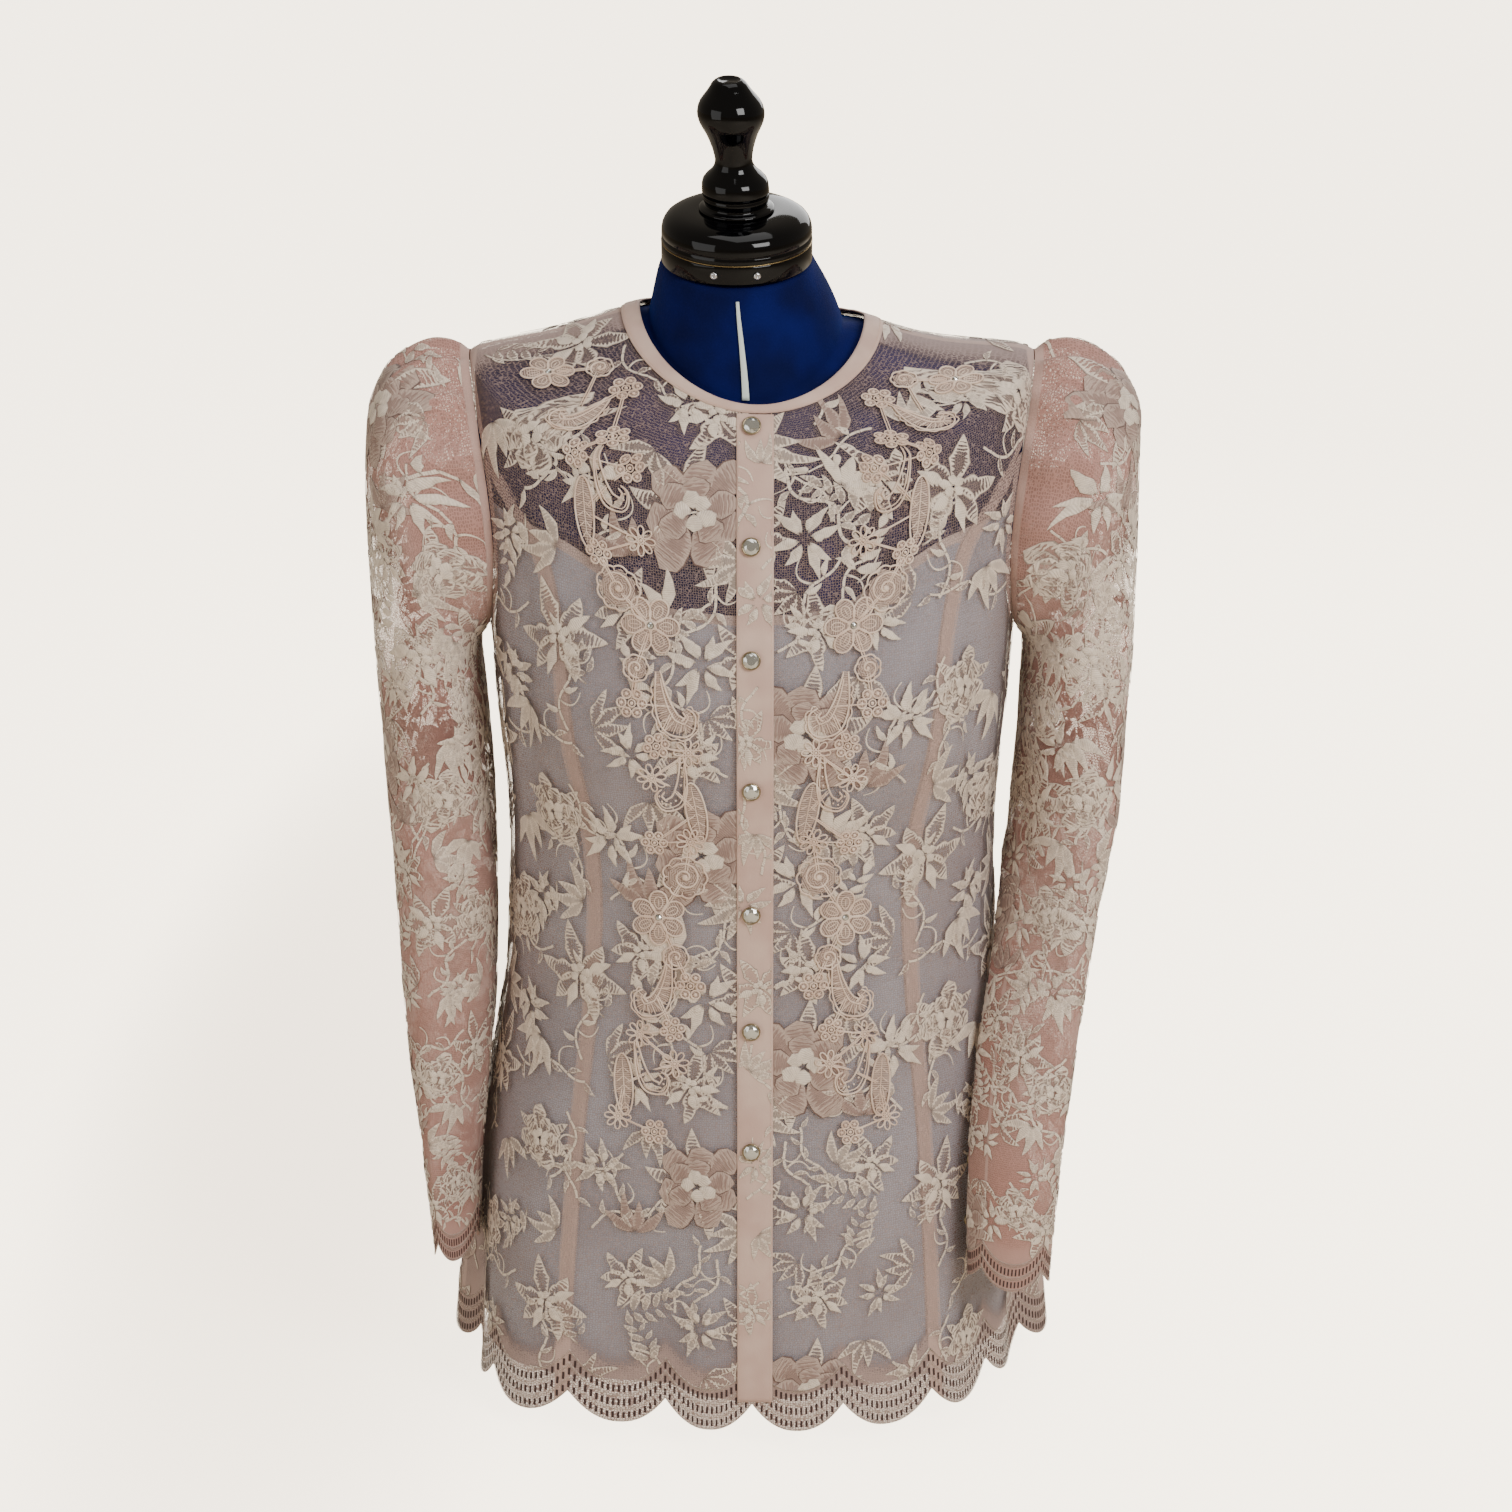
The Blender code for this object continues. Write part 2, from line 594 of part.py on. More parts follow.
def lining_panels():
    outside = -(LACE_WALL + LINING_GAP)
    for word, side in (("right", -1), ("left", 1)):
        places = lining_front_places(side, hem_columns(45))
        surface_wall(f"lining_front_{word}", places, outside, LINING_WALL, "lining", turned=side < 0)
        top = panel_arounds(side, hem_columns(45), SCOOP_SEAM_LEVEL, princess_around, armhole_around)
        places = [[(around, scoop_level(around)) for around in top]]
        for level in LINING_SIDE_LEVELS:
            arounds = panel_arounds(side, hem_columns(45), level, princess_around, armhole_around)
            places.append([(around, level) for around in arounds])
        surface_wall(f"lining_side_{word}", places, outside, LINING_WALL, "lining", turned=side < 0)
    places = []
    for level in LINING_BACK_LEVELS:
        arounds = panel_arounds(1, hem_columns(180) * 2 // 3, level, back_start, back_end)
        places.append([(around, level) for around in arounds])
    surface_wall("lining_back", places, -(LACE_WALL + BACK_LINING_GAP), LINING_WALL, "lining")


# Sleeves

def armhole_point(side, turn):
    # turn 0 is the shoulder tip, 90 the front, 180 the underarm
    angle = math.radians(turn)
    middle = (SHOULDER_LEVEL + UNDERARM_LEVEL) / 2
    half = (UNDERARM_LEVEL - SHOULDER_LEVEL) / 2
    around = 90.0 - ARMHOLE_HALF_ANGLE * math.sin(angle)
    return body_point(side * around, middle - half * math.cos(angle), False)


def sleeve_section(side, rows, turn, down):
    row = read_row(rows, SLEEVE_COLUMNS, down)
    angle, swing = math.radians(turn), math.radians(row["turn"])
    middle_x, half_x = (row["outer_x"] + row["inner_x"]) / 2, (row["outer_x"] - row["inner_x"]) / 2
    middle_z, half_z = (row["outer_z"] + row["inner_z"]) / 2, (row["outer_z"] - row["inner_z"]) / 2
    out, ahead = math.cos(angle), math.sin(angle)
    lean = math.sin(swing) * row["half_depth"]
    wide = math.sqrt(half_x ** 2 - min(lean, 0.75 * half_x) ** 2)
    x = middle_x + wide * out + min(lean, 0.75 * half_x) * ahead
    y = row["middle_y"] + wide * math.tan(swing) * out - math.cos(swing) * row["half_depth"] * ahead
    return Vector((side * x, y, middle_z + half_z * out))


def level_at(z):
    side_z = column(BODY_ROWS, BODY_COLUMNS, "side_z")
    level = column(BODY_ROWS, BODY_COLUMNS, "level")
    return float(np.interp(-z, -side_z, level))


def clear_of_body(point):
    # The sleeve lies against the body's side where the two would meet
    if point.z > 0.552:
        return point
    level = level_at(point.z)
    best = math.degrees(math.atan2(point.x, -point.y))
    for _ in range(4):
        skin = body_point(best, level)
        best += math.degrees(math.atan2(point.x, -point.y) - math.atan2(skin.x, -skin.y))
    skin = body_point(best, level)
    least = Vector((skin.x, skin.y)).length + CLEAR_OF_BODY
    flat = Vector((point.x, point.y))
    if flat.length >= least:
        return point
    flat = flat.normalized() * least
    return Vector((flat.x, flat.y, point.z))


def sleeve_point(side, rows, turn, down):
    point = sleeve_section(side, rows, turn, down)
    middle = (sleeve_section(side, rows, 0, down) + sleeve_section(side, rows, 180, down)) / 2
    if down < SLEEVE_BLEND:
        start = sleeve_section(side, rows, turn, 0)
        seam = armhole_point(side, turn) + Vector((side * SLEEVE_STAND_OFF, 0, 0))
        point += (seam - start) * (1 - smooth_step(down / SLEEVE_BLEND))
    top = abs(angle_apart(turn, 0)) / GATHER_SPREAD
    swell = smooth_step(down / 0.010) * (1 - smooth_step((down - 0.010) / GATHER_LENGTH))
    wave = math.cos(math.radians(turn) * GATHERS / 2)
    point += (point - middle).normalized() * GATHER_OUT * wave * swell * math.exp(-(top ** 4))
    return clear_of_body(point)


def cuff_level(turn):
    lobe = 360.0 / CUFF_SCALLOPS
    across = 2 * (turn % lobe) / lobe - 1
    return CUFF_LEVEL - CUFF_SCALLOP_DEPTH * abs(across) ** SCALLOP_POWER


def sleeves():
    for word, (side, rows) in SLEEVES.items():
        turns = [360.0 * j / SLEEVE_STEPS for j in range(SLEEVE_STEPS)]
        grid = [[sleeve_point(side, rows, turn, down) for turn in turns] for down in SLEEVE_LEVELS]
        grid.append([sleeve_point(side, rows, turn, cuff_level(turn)) for turn in turns])
        thin_tube(f"sleeve_{word}", grid, LACE_WALL, "lace", turned=side > 0)


# Trimmings

def neck_binding():
    arounds = [360.0 * j / BINDING_STEPS for j in range(BINDING_STEPS)]
    places = [[(around, level) for around in arounds] for level in (0.0, BINDING_WIDTH)]
    surface_wall(
        "neck_binding", places, BAND_GAP + BAND_WALL, BAND_WALL, "band", joined=True, fluted=False
    )


def button_band():
    levels = {BAND_TOP_LEVEL, BAND_LOWEST, *BUTTON_LEVELS}
    levels |= {level for level in FRONT_LEVELS if BAND_TOP_LEVEL < level < BAND_LOWEST}
    places = []
    for level in sorted(levels):
        degrees = 1 / metres_per_degree(0, level)
        places.append([
            ((BAND_LEFT + (BAND_RIGHT - BAND_LEFT) * j / BAND_STEPS) * degrees, level)
            for j in range(BAND_STEPS + 1)
        ])
    surface_wall("button_band", places, BAND_GAP + BAND_WALL, BAND_WALL, "band")


def round_stud(name, seat, normal, profile, sides, material):
    # Rings of (radius, height) standing on their seat
    across = Vector((0, 0, 1)).cross(normal).normalized()
    upward = normal.cross(across)
    turns = [2 * math.pi * j / sides for j in range(sides)]
    closed_loft(
        name,
        [
            [seat + normal * up + (across * math.cos(t) + upward * math.sin(t)) * radius for t in turns]
            for radius, up in profile
        ],
        material,
    )


def jewel_button(name, seat, normal, radius, height):
    # A faceted stone in a round setting
    sized = [(radius * share, height * up) for share, up in BUTTON_PROFILE]
    round_stud(name, seat, normal, sized, BUTTON_SIDES, "jewel")


def buttons():
    lift = BAND_GAP + BAND_WALL + SEAM_GAP
    for index, level in enumerate(BUTTON_LEVELS, 1):
        seat = cloth_offset(BUTTON_AROUND, level, lift)
        normal = body_normal(BUTTON_AROUND, level)
        jewel_button(f"button_{index}", seat, normal, BUTTON_RADIUS, BUTTON_HEIGHT)
    for word, (side, rows) in SLEEVES.items():
        mesh = bpy.data.objects[f"sleeve_{word}"].data
        outside = BVHTree.FromPolygons([v.co for v in mesh.vertices], [f.vertices for f in mesh.polygons])
        for index, down in enumerate(CUFF_BUTTON_DOWN, 1):
            place = sleeve_point(side, rows, CUFF_BUTTON_TURN[word], down)
            seat, normal, *_ = outside.find_nearest(place)
            seat = seat + normal * CUFF_BUTTON_LIFT
            jewel_button(
                f"cuff_button_{word}_{index}", seat, normal, CUFF_BUTTON_RADIUS, BUTTON_HEIGHT
            )


# Guipure trims

def lobed_outline(petals, depth, size, turn):
    # A point at each petal's tip and one between petals; the largest flower has blunt petals
    reach = math.pi / petals
    corners = [(0.0, 1.0)] if depth == 0 else [(0.0, 1.0), (reach, 1 - depth)]
    if size > BLUNT_FROM and depth > 0:
        corners = [(-0.35 * reach, 1.0), (0.35 * reach, 1.0), (reach, 1 - depth)]
    outline = []
    for i in range(petals):
        for offset, radius in corners:
            angle = 2 * reach * i + turn + offset
            outline.append((size * radius * math.cos(angle), size * radius * math.sin(angle)))
    return outline


def strip_quads(path):
    # Quads along a path of (away, down, half width)
    sides = []
    for i, (x, y, half) in enumerate(path):
        before, after = path[max(i - 1, 0)], path[min(i + 1, len(path) - 1)]
        dx, dy = after[0] - before[0], after[1] - before[1]
        length = math.hypot(dx, dy)
        sides.append((
            (x - dy / length * half, y + dx / length * half),
            (x + dy / length * half, y - dx / length * half),
        ))
    return [[a[0], a[1], b[1], b[0]] for a, b in zip(sides, sides[1:])]


def motif_outlines(kind, size, turn, mirror):
    angle = math.radians(turn)
    if kind in PETALS:
        return [lobed_outline(PETALS[kind], PETAL_DEPTH[kind], size, angle)]
    if kind == "leaf":
        wide = LEAF_HALF_WIDTH
        pointed = ((0, -1), (wide, -0.35), (wide, 0.3), (0, 1), (-wide, 0.3), (-wide, -0.35))
        shapes = [[(mirror * x * size, y * size) for x, y in pointed]]
    else:
        slim = SLIM_SHARE if kind == "slim_scroll" else 1.0
        path = [(mirror * x * size, y * size, half * size * slim) for x, y, half in SCROLL_ROWS]
        shapes = strip_quads(path)
    lean = mirror * angle
    return [
        [(x * math.cos(lean) - y * math.sin(lean), x * math.sin(lean) + y * math.cos(lean)) for x, y in shape]
        for shape in shapes
    ]


def trim_outlines():
    # Every motif and the stems between them, in one flat plane of metres
    shapes = []
    middles = []
    for kind, level, around, size, turn, mirror in MOTIF_ROWS:
        across = FLAT_METRES_PER_DEGREE / metres_per_degree(around, level)
        down = 1 / metres_per_level(around, level)
        middle = (around * FLAT_METRES_PER_DEGREE, level)
        for outline in motif_outlines(kind, size, turn, mirror):
            shapes.append([(middle[0] + x * across, middle[1] + y * down) for x, y in outline])
        middles.append((*middle, size))
    for (x, y, size), (next_x, next_y, next_size) in zip(middles, middles[1:]):
        if math.hypot(next_x - x, next_y - y) > STEM_FROM * (size + next_size):
            shapes += strip_quads([(x, y, STEM_HALF_WIDTH), (next_x, next_y, STEM_HALF_WIDTH)])
    return shapes


def rim_edges(triangles):
    edges = {(a, b) for face in triangles for a, b in zip(face, face[1:] + face[:1])}
    return [(a, b) for a, b in sorted(edges) if (b, a) not in edges]


def inside(point, corners):
    a, b, c = corners
    return all((q - p).cross(point - p) >= 0 for p, q in ((a, b), (b, c), (c, a)))


def merged_triangles(shapes):
    # All shapes together first, then only their common rim, which leaves out the crossings inside
    points = []
    faces = []
    for shape in shapes:
        area = sum(a[0] * b[1] - b[0] * a[1] for a, b in zip(shape, shape[1:] + shape[:1]))
        if area < 0:
            shape = shape[::-1]
        faces.append(list(range(len(points), len(points) + len(shape))))
        points += [Vector(p) for p in shape]
    points, _, triangles, *_ = geometry.delaunay_2d_cdt(points, [], faces, 1, MERGE_DISTANCE)
    old = [tuple(points[v] for v in face) for face in triangles]
    rim = rim_edges([tuple(face) for face in triangles])
    kept = sorted({v for edge in rim for v in edge})
    place = {v: i for i, v in enumerate(kept)}
    corners = [points[v] for v in kept]
    rim = [(place[a], place[b]) for a, b in rim]
    points, _, triangles, *_ = geometry.delaunay_2d_cdt(corners, rim, [], 0, 1e-6)
    shown = []
    for face in triangles:
        middle = sum((points[v] for v in face), Vector((0, 0))) / 3
        if any(inside(middle, corners) for corners in old):
            shown.append(tuple(face))
    return points, shown


def trims():
    points, triangles = merged_triangles(trim_outlines())
    count = len(points)
    faces = triangles + [tuple(count + v for v in face[::-1]) for face in triangles]
    faces += [(b, a, count + a, count + b) for a, b in rim_edges(triangles)]
    for word, side in (("right", -1), ("left", 1)):
        places = [(side * p.x / FLAT_METRES_PER_DEGREE, max(p.y, 0.0)) for p in points]
        outer = [cloth_offset(around, level, TRIM_GAP + TRIM_WALL) for around, level in places]
        inner = [cloth_offset(around, level, TRIM_GAP) for around, level in places]
        shown = faces if side < 0 else [face[::-1] for face in faces]
        mesh_object(f"guipure_trim_{word}", outer + inner, shown, "trim")


# Dress form

def form_ring(level):
    ease = read_row(BODY_ROWS, BODY_COLUMNS, level)["form_ease"]
    arounds = [360.0 * j / FORM_STEPS for j in range(FORM_STEPS)]
    return [body_offset(a, level, -ease, False) for a in arounds]


def neck_lean(rise):
    low, high = NECK_LEAN_X
    return Vector((low + (high - low) * smooth_step(rise), 0, 0))


def neck_ring(rise):
    row = read_row(NECK_ROWS, NECK_COLUMNS, rise)
    arounds = [360.0 * j / FORM_STEPS for j in range(FORM_STEPS)]
    return [shoulder_tilt(section_point(a, row), rise) + neck_lean(rise) for a in arounds]


def form_body():
    lowest = form_ring(HEM_LEVEL - (FORM_BOTTOM_Z + FORM_BOTTOM_ROUND - 0.018))
    foot = []
    for point in lowest:
        inward = Vector((point.x, point.y, 0)).normalized() * FORM_BOTTOM_ROUND
        foot.append(Vector((point.x, point.y, FORM_BOTTOM_Z)) - inward)
    rings = [foot, lowest]
    rings += [form_ring(level) for level in FORM_LEVELS]
    rings += [neck_ring(rise) for rise in (0.0, 0.25, 0.6, 1.0)]
    closed_loft("form_body", rings, "form_cloth")


def head_point(radius, up, turn):
    # Turned pieces stand on an axis that leans forward; turn 0 is the front
    x, y = radius * math.sin(turn), -radius * math.cos(turn)
    lean_y = y * math.cos(HEAD_TILT) - up * math.sin(HEAD_TILT)
    lean_z = up * math.cos(HEAD_TILT) + y * math.sin(HEAD_TILT)
    lean_x = x - HEAD_LEAN * max(up - DOME_PROFILE[-1][1], 0)
    return Vector(HEAD_CENTRE) + Vector((lean_x, lean_y, lean_z))


def turned_piece(name, profile, material):
    turns = [2 * math.pi * j / HEAD_STEPS for j in range(HEAD_STEPS)]
    rings = [[head_point(radius, up, turn) for turn in turns] for radius, up in profile]
    closed_loft(name, rings, material)


def screws():
    for index, degrees in enumerate(SCREW_TURNS, 1):
        turn = math.radians(degrees)
        seat = head_point(CAP_RADIUS + SEAM_GAP, SCREW_UP, turn)
        normal = (seat - head_point(0, SCREW_UP, turn)).normalized()
        profile = [(SCREW_RADIUS * share, SCREW_HEIGHT * up) for share, up in SCREW_PROFILE]
        round_stud(f"cap_screw_{index}", seat, normal, profile, 8, "screw_steel")


def gap_strip():
    # The pale strip that shows in the form's front gap, on the front of the neck
    low, high = GAP_STRIP_RISE
    wide, narrow = GAP_STRIP_HALF_ANGLE
    outer = []
    inner = []
    for i in range(GAP_STRIP_STEPS + 1):
        share = i / GAP_STRIP_STEPS
        row = read_row(NECK_ROWS, NECK_COLUMNS, high + (low - high) * share)
        rise = high + (low - high) * share
        half = narrow + (wide - narrow) * share
        line = [shoulder_tilt(section_point(half * j, row), rise) + neck_lean(rise) for j in (-1, 0, 1)]
        inner.append([p + Vector((0, -GAP_STRIP_GAP, 0)) for p in line])
        outer.append([p + Vector((0, -GAP_STRIP_GAP - GAP_STRIP_WALL, 0)) for p in line])
    cloth_wall("form_gap_strip", outer, inner, "pale_plastic")


def foot():
    turns = [2 * math.pi * j / HEAD_STEPS for j in range(HEAD_STEPS)]
    profile = (
        (FOOT_RADIUS, 0.0), (FOOT_RADIUS, FOOT_HEIGHT - FOOT_EDGE), (FOOT_RADIUS - FOOT_EDGE, FOOT_HEIGHT),
    )
    rings = [[Vector((r * math.sin(t), -r * math.cos(t), z)) for t in turns] for r, z in profile]
    closed_loft("form_foot", rings, "form_gloss")


def build():
    for old in list(bpy.data.objects):
        bpy.data.objects.remove(old)
    lace_panels()
    lining_panels()
    sleeves()
    neck_binding()
    button_band()
    buttons()
    trims()
    form_body()
    turned_piece("neck_ring", RING_PROFILE, "form_gloss")
    turned_piece("neck_dome", DOME_PROFILE, "form_gloss")
    turned_piece("finial", FINIAL_PROFILE, "form_gloss")
    screws()
    gap_strip()
    foot()


build()
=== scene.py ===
# Looks of a lace top on its dress form, over the solids of the same names.
# Metres, +Z up. The front faces -Y and the wearer's left is +X.
import math
import time

import bmesh
import bpy
import numpy as np
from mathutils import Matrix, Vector


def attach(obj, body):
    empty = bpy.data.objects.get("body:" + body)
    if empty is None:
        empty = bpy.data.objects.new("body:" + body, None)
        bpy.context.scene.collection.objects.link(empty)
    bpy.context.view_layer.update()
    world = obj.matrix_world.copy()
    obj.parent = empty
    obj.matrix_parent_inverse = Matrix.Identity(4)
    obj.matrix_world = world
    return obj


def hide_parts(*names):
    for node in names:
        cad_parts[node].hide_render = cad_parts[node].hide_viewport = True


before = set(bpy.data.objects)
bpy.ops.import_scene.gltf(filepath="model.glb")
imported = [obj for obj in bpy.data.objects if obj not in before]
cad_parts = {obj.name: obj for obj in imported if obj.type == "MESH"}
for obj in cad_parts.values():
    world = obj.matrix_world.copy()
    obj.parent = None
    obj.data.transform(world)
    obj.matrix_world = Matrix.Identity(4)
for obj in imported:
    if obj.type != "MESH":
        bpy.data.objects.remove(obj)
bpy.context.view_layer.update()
started = time.time()


def say(stage):
    print(f"{stage}: {time.time() - started:.1f} s")


# The body, as in the solids: "level" is roughly metres of cloth below the neck edge
bodyNames = ("level", "frontZ", "sideZ", "backZ", "halfWidth", "frontY", "backY", "formEase")
bodyRows = (
    (0.000, 0.7210, 0.7680, 0.7625, 0.0745, 0.0830, 0.0620, 0.0019),
    (0.030, 0.6990, 0.7530, 0.7435, 0.1280, 0.0960, 0.0840, 0.0036),
    (0.060, 0.6740, 0.7420, 0.7210, 0.1880, 0.1070, 0.1000, 0.0044),
    (0.100, 0.6400, 0.7000, 0.6800, 0.1920, 0.1180, 0.1060, 0.0072),
    (0.150, 0.5940, 0.6180, 0.6240, 0.1860, 0.1300, 0.1060, 0.0098),
    (0.200, 0.5480, 0.5560, 0.5620, 0.1780, 0.1380, 0.1030, 0.0104),
    (0.250, 0.4980, 0.5020, 0.5040, 0.1740, 0.1400, 0.0980, 0.0088),
    (0.330, 0.4180, 0.4200, 0.4220, 0.1680, 0.1340, 0.0920, 0.0090),
    (0.420, 0.3280, 0.3280, 0.3300, 0.1710, 0.1330, 0.0980, 0.0120),
    (0.540, 0.2080, 0.2080, 0.2080, 0.1880, 0.1400, 0.1140, 0.0200),
    (0.660, 0.0880, 0.0880, 0.0880, 0.2020, 0.1480, 0.1260, 0.0360),
    (0.730, 0.0180, 0.0180, 0.0180, 0.2080, 0.1530, 0.1320, 0.0420),
)
body = {
    "shoulder": 0.060, "underarm": 0.200, "hem": 0.730, "roundShare": 0.08, "cornerFullness": 0.035,
    "frontPower": 1.5, "shoulderTilt": 0.06, "bustAround": 38.0, "bustLevel": 0.235, "bustOut": 0.010,
    "bustWidth": 24.0, "bustHeight": 0.065, "armholeHalf": 24.0, "scallops": 18,
    "scallopDepth": 0.020, "scallopPower": 2.2, "fluteFullZ": 0.020,
}
ovalMiddle = (body["shoulder"] + body["underarm"]) / 2  # the armhole's oval, in levels
ovalHalf = (body["underarm"] - body["shoulder"]) / 2
# Half steps over which slopes and normals are taken: degrees of the body and sleeves, metres of cloth
nudge = {"around": 0.4, "turn": 0.8, "down": 0.002, "level": 0.004, "degree": 0.5}
fluteRows = (  # around, out at the hem, height where it starts, half width
    (20.0, 0.004, 0.30, 10.0), (42.0, 0.003, 0.30, 9.0), (61.0, -0.013, 0.34, 14.0),
    (77.0, -0.012, 0.26, 8.0), (98.0, 0.010, 0.34, 13.0), (126.0, -0.009, 0.30, 11.0),
    (152.0, 0.006, 0.32, 12.0), (180.0, -0.005, 0.28, 10.0), (-22.0, -0.004, 0.28, 9.0),
    (-50.0, 0.011, 0.34, 13.0), (-79.0, -0.010, 0.26, 8.0), (-98.0, 0.011, 0.34, 13.0),
    (-128.0, -0.008, 0.30, 11.0), (-154.0, 0.006, 0.30, 12.0),
)
princessRows = (
    (0.095, 69.2), (0.100, 66.6), (0.112, 58.5), (0.130, 50.5), (0.165, 47.0),
    (0.218, 45.2), (0.356, 42.0), (0.467, 43.0), (0.600, 42.0), (0.730, 41.0),
)
# Soft creases that the fitted cloth has: troughs have a negative "out"
creaseNames = ("around", "level", "length", "width", "lean", "out")
creaseRows = (
    (-58, 0.235, 0.075, 3.0, -40, -0.0028), (-66, 0.270, 0.090, 3.4, -30, 0.0022),
    (-52, 0.300, 0.070, 3.0, -20, 0.0016), (57, 0.240, 0.080, 3.0, 38, -0.0026),
    (67, 0.285, 0.085, 3.2, 25, 0.0022), (50, 0.315, 0.060, 2.6, 18, 0.0015),
    (-30, 0.335, 0.022, 9.0, 0, 0.0016), (-24, 0.354, 0.018, 8.0, 0, -0.0016),
    (33, 0.342, 0.020, 9.0, 0, 0.0016), (28, 0.361, 0.018, 8.0, 0, -0.0015),
    (-33, 0.550, 0.100, 4.0, 10, -0.0018), (-12, 0.600, 0.090, 3.5, 0, 0.0016),
    (14, 0.570, 0.100, 4.0, -6, -0.0018), (30, 0.620, 0.090, 4.0, 8, 0.0018),
    (-36, 0.165, 0.035, 4.0, 60, -0.0012), (35, 0.172, 0.035, 4.0, -55, -0.0013),
    (170, 0.300, 0.060, 8.0, 0, -0.0020), (-168, 0.335, 0.022, 10.0, 0, 0.0018),
    (178, 0.360, 0.020, 9.0, 0, -0.0018), (150, 0.240, 0.080, 3.4, -30, -0.0024),
    (-149, 0.250, 0.080, 3.2, 30, -0.0024), (-160, 0.560, 0.100, 4.0, 0, 0.0020),
    (158, 0.580, 0.100, 4.0, 0, -0.0020), (128, 0.450, 0.090, 4.0, 0, 0.0018),
    (-126, 0.460, 0.090, 4.0, 0, -0.0018),
)


def cubicThrough(xs, ys, x):
    # Monotone cubic through the rows of a table
    steps = np.diff(xs)
    slopes = np.diff(ys) / steps
    tangents = np.zeros(len(xs))
    tangents[0], tangents[-1] = slopes[0], slopes[-1]
    before, after = 2 * steps[1:] + steps[:-1], steps[1:] + 2 * steps[:-1]
    same = slopes[:-1] * slopes[1:] > 0
    low, high = np.where(same, slopes[:-1], 1.0), np.where(same, slopes[1:], 1.0)
    tangents[1:-1] = np.where(same, (before + after) / (before / low + after / high), 0.0)
    x = np.clip(x, xs[0], xs[-1])
    i = np.minimum(np.searchsorted(xs, x, side="right") - 1, len(steps) - 1)
    t = (x - xs[i]) / steps[i]
    return (
        (1 + 2 * t) * (1 - t) ** 2 * ys[i]
        + t * (1 - t) ** 2 * steps[i] * tangents[i]
        + t * t * (3 - 2 * t) * ys[i + 1]
        + t * t * (t - 1) * steps[i] * tangents[i + 1]
    )


def rowAt(rows, names, x):
    columns = np.array(rows).T
    return {name: cubicThrough(columns[0], columns[k], x) for k, name in enumerate(names) if k}


def smoothStep(t):
    t = np.clip(t, 0.0, 1.0)
    return t * t * (3 - 2 * t)


def angleApart(a, b):
    return (a - b + 180) % 360 - 180


def unit(vectors):
    return vectors / np.maximum(np.linalg.norm(vectors, axis=-1, keepdims=True), 1e-12)


def sectionPoint(around, row):
    angle = np.radians(around)
    turn = angle - body["roundShare"] * np.sin(2 * angle)
    full = 1 + body["cornerFullness"] * np.sin(2 * turn) ** 2
    ahead = np.cos(turn)
    endZ = np.where(ahead > 0, row["frontZ"], row["backZ"])
    depth = np.where(ahead > 0, row["frontY"], row["backY"])
    x = row["halfWidth"] * np.sin(turn) * full
    y = -depth * ahead * full
    z = row["sideZ"] + (endZ - row["sideZ"]) * np.abs(ahead) ** body["frontPower"]
    return np.stack(np.broadcast_arrays(x, y, z), -1)


def tilted(point, share):
    drop = body["shoulderTilt"] * point[..., 0] * (1 - smoothStep(share))
    return point - np.stack([0 * drop, 0 * drop, drop], -1)


def bodyPoint(around, level, fluted=True):
    around, level = np.broadcast_arrays(np.asarray(around, float), np.asarray(level, float))
    point = sectionPoint(around, rowAt(bodyRows, bodyNames, level))
    side = angleApart(np.abs(angleApart(around, 0)), body["bustAround"]) / body["bustWidth"]
    rise = (level - body["bustLevel"]) / body["bustHeight"]
    out = body["bustOut"] * np.exp(-side * side - rise * rise)
    for fluteAround, fluteOut, topZ, width in fluteRows if fluted else ():
        near = angleApart(around, fluteAround) / width
        down = smoothStep((topZ - point[..., 2]) / (topZ - body["fluteFullZ"]))
        out = out + fluteOut * np.exp(-near * near) * down
    away = unit(point * (1, 1, 0))
    return tilted(point + away * out[..., None], level / body["shoulder"])


def bodyNormal(around, level, fluted=True):
    around, level = np.broadcast_arrays(np.asarray(around, float), np.asarray(level, float))
    step, fall = nudge["around"], nudge["down"]
    across = bodyPoint(around + step, level, fluted) - bodyPoint(around - step, level, fluted)
    above = bodyPoint(around, np.maximum(level - fall, 0), fluted)
    below = bodyPoint(around, np.minimum(level + fall, body["hem"]), fluted)
    return unit(np.cross(across, above - below))


def creaseOut(around, level):
    total = 0.0
    for row in creaseRows:
        one = dict(zip(creaseNames, row))
        down = level - one["level"]
        near = angleApart(around, one["around"] + one["lean"] * down) / one["width"]
        total = total + one["out"] * np.exp(-near * near - (down / one["length"]) ** 2)
    return total


def clothPoint(around, level, out=0.0):
    # Every layer of the top lies on this surface, moved in or out
    lift = out + creaseOut(around, level)
    return bodyPoint(around, level) + bodyNormal(around, level) * np.asarray(lift)[..., None]


def armholeAround(level):
    across = np.clip((np.asarray(level, float) - ovalMiddle) / ovalHalf, -1, 1)
    return 90.0 - body["armholeHalf"] * np.sqrt(1 - across ** 2)


def princessAround(level):
    level = np.asarray(level, float)
    line = cubicThrough(*np.array(princessRows).T, level)
    armhole = armholeAround(level)
    return np.where(level <= princessRows[0][0], armhole, np.minimum(line, armhole))


def scallopLevel(around):
    lobe = 360.0 / body["scallops"]
    across = 2 * (np.abs(around) % lobe) / lobe - 1
    return body["hem"] - body["scallopDepth"] * np.abs(across) ** body["scallopPower"]


def metresPerDegree(around, level):
    around, step = np.asarray(around), nudge["degree"]
    return np.linalg.norm(bodyPoint(around + step, level) - bodyPoint(around - step, level), axis=-1)


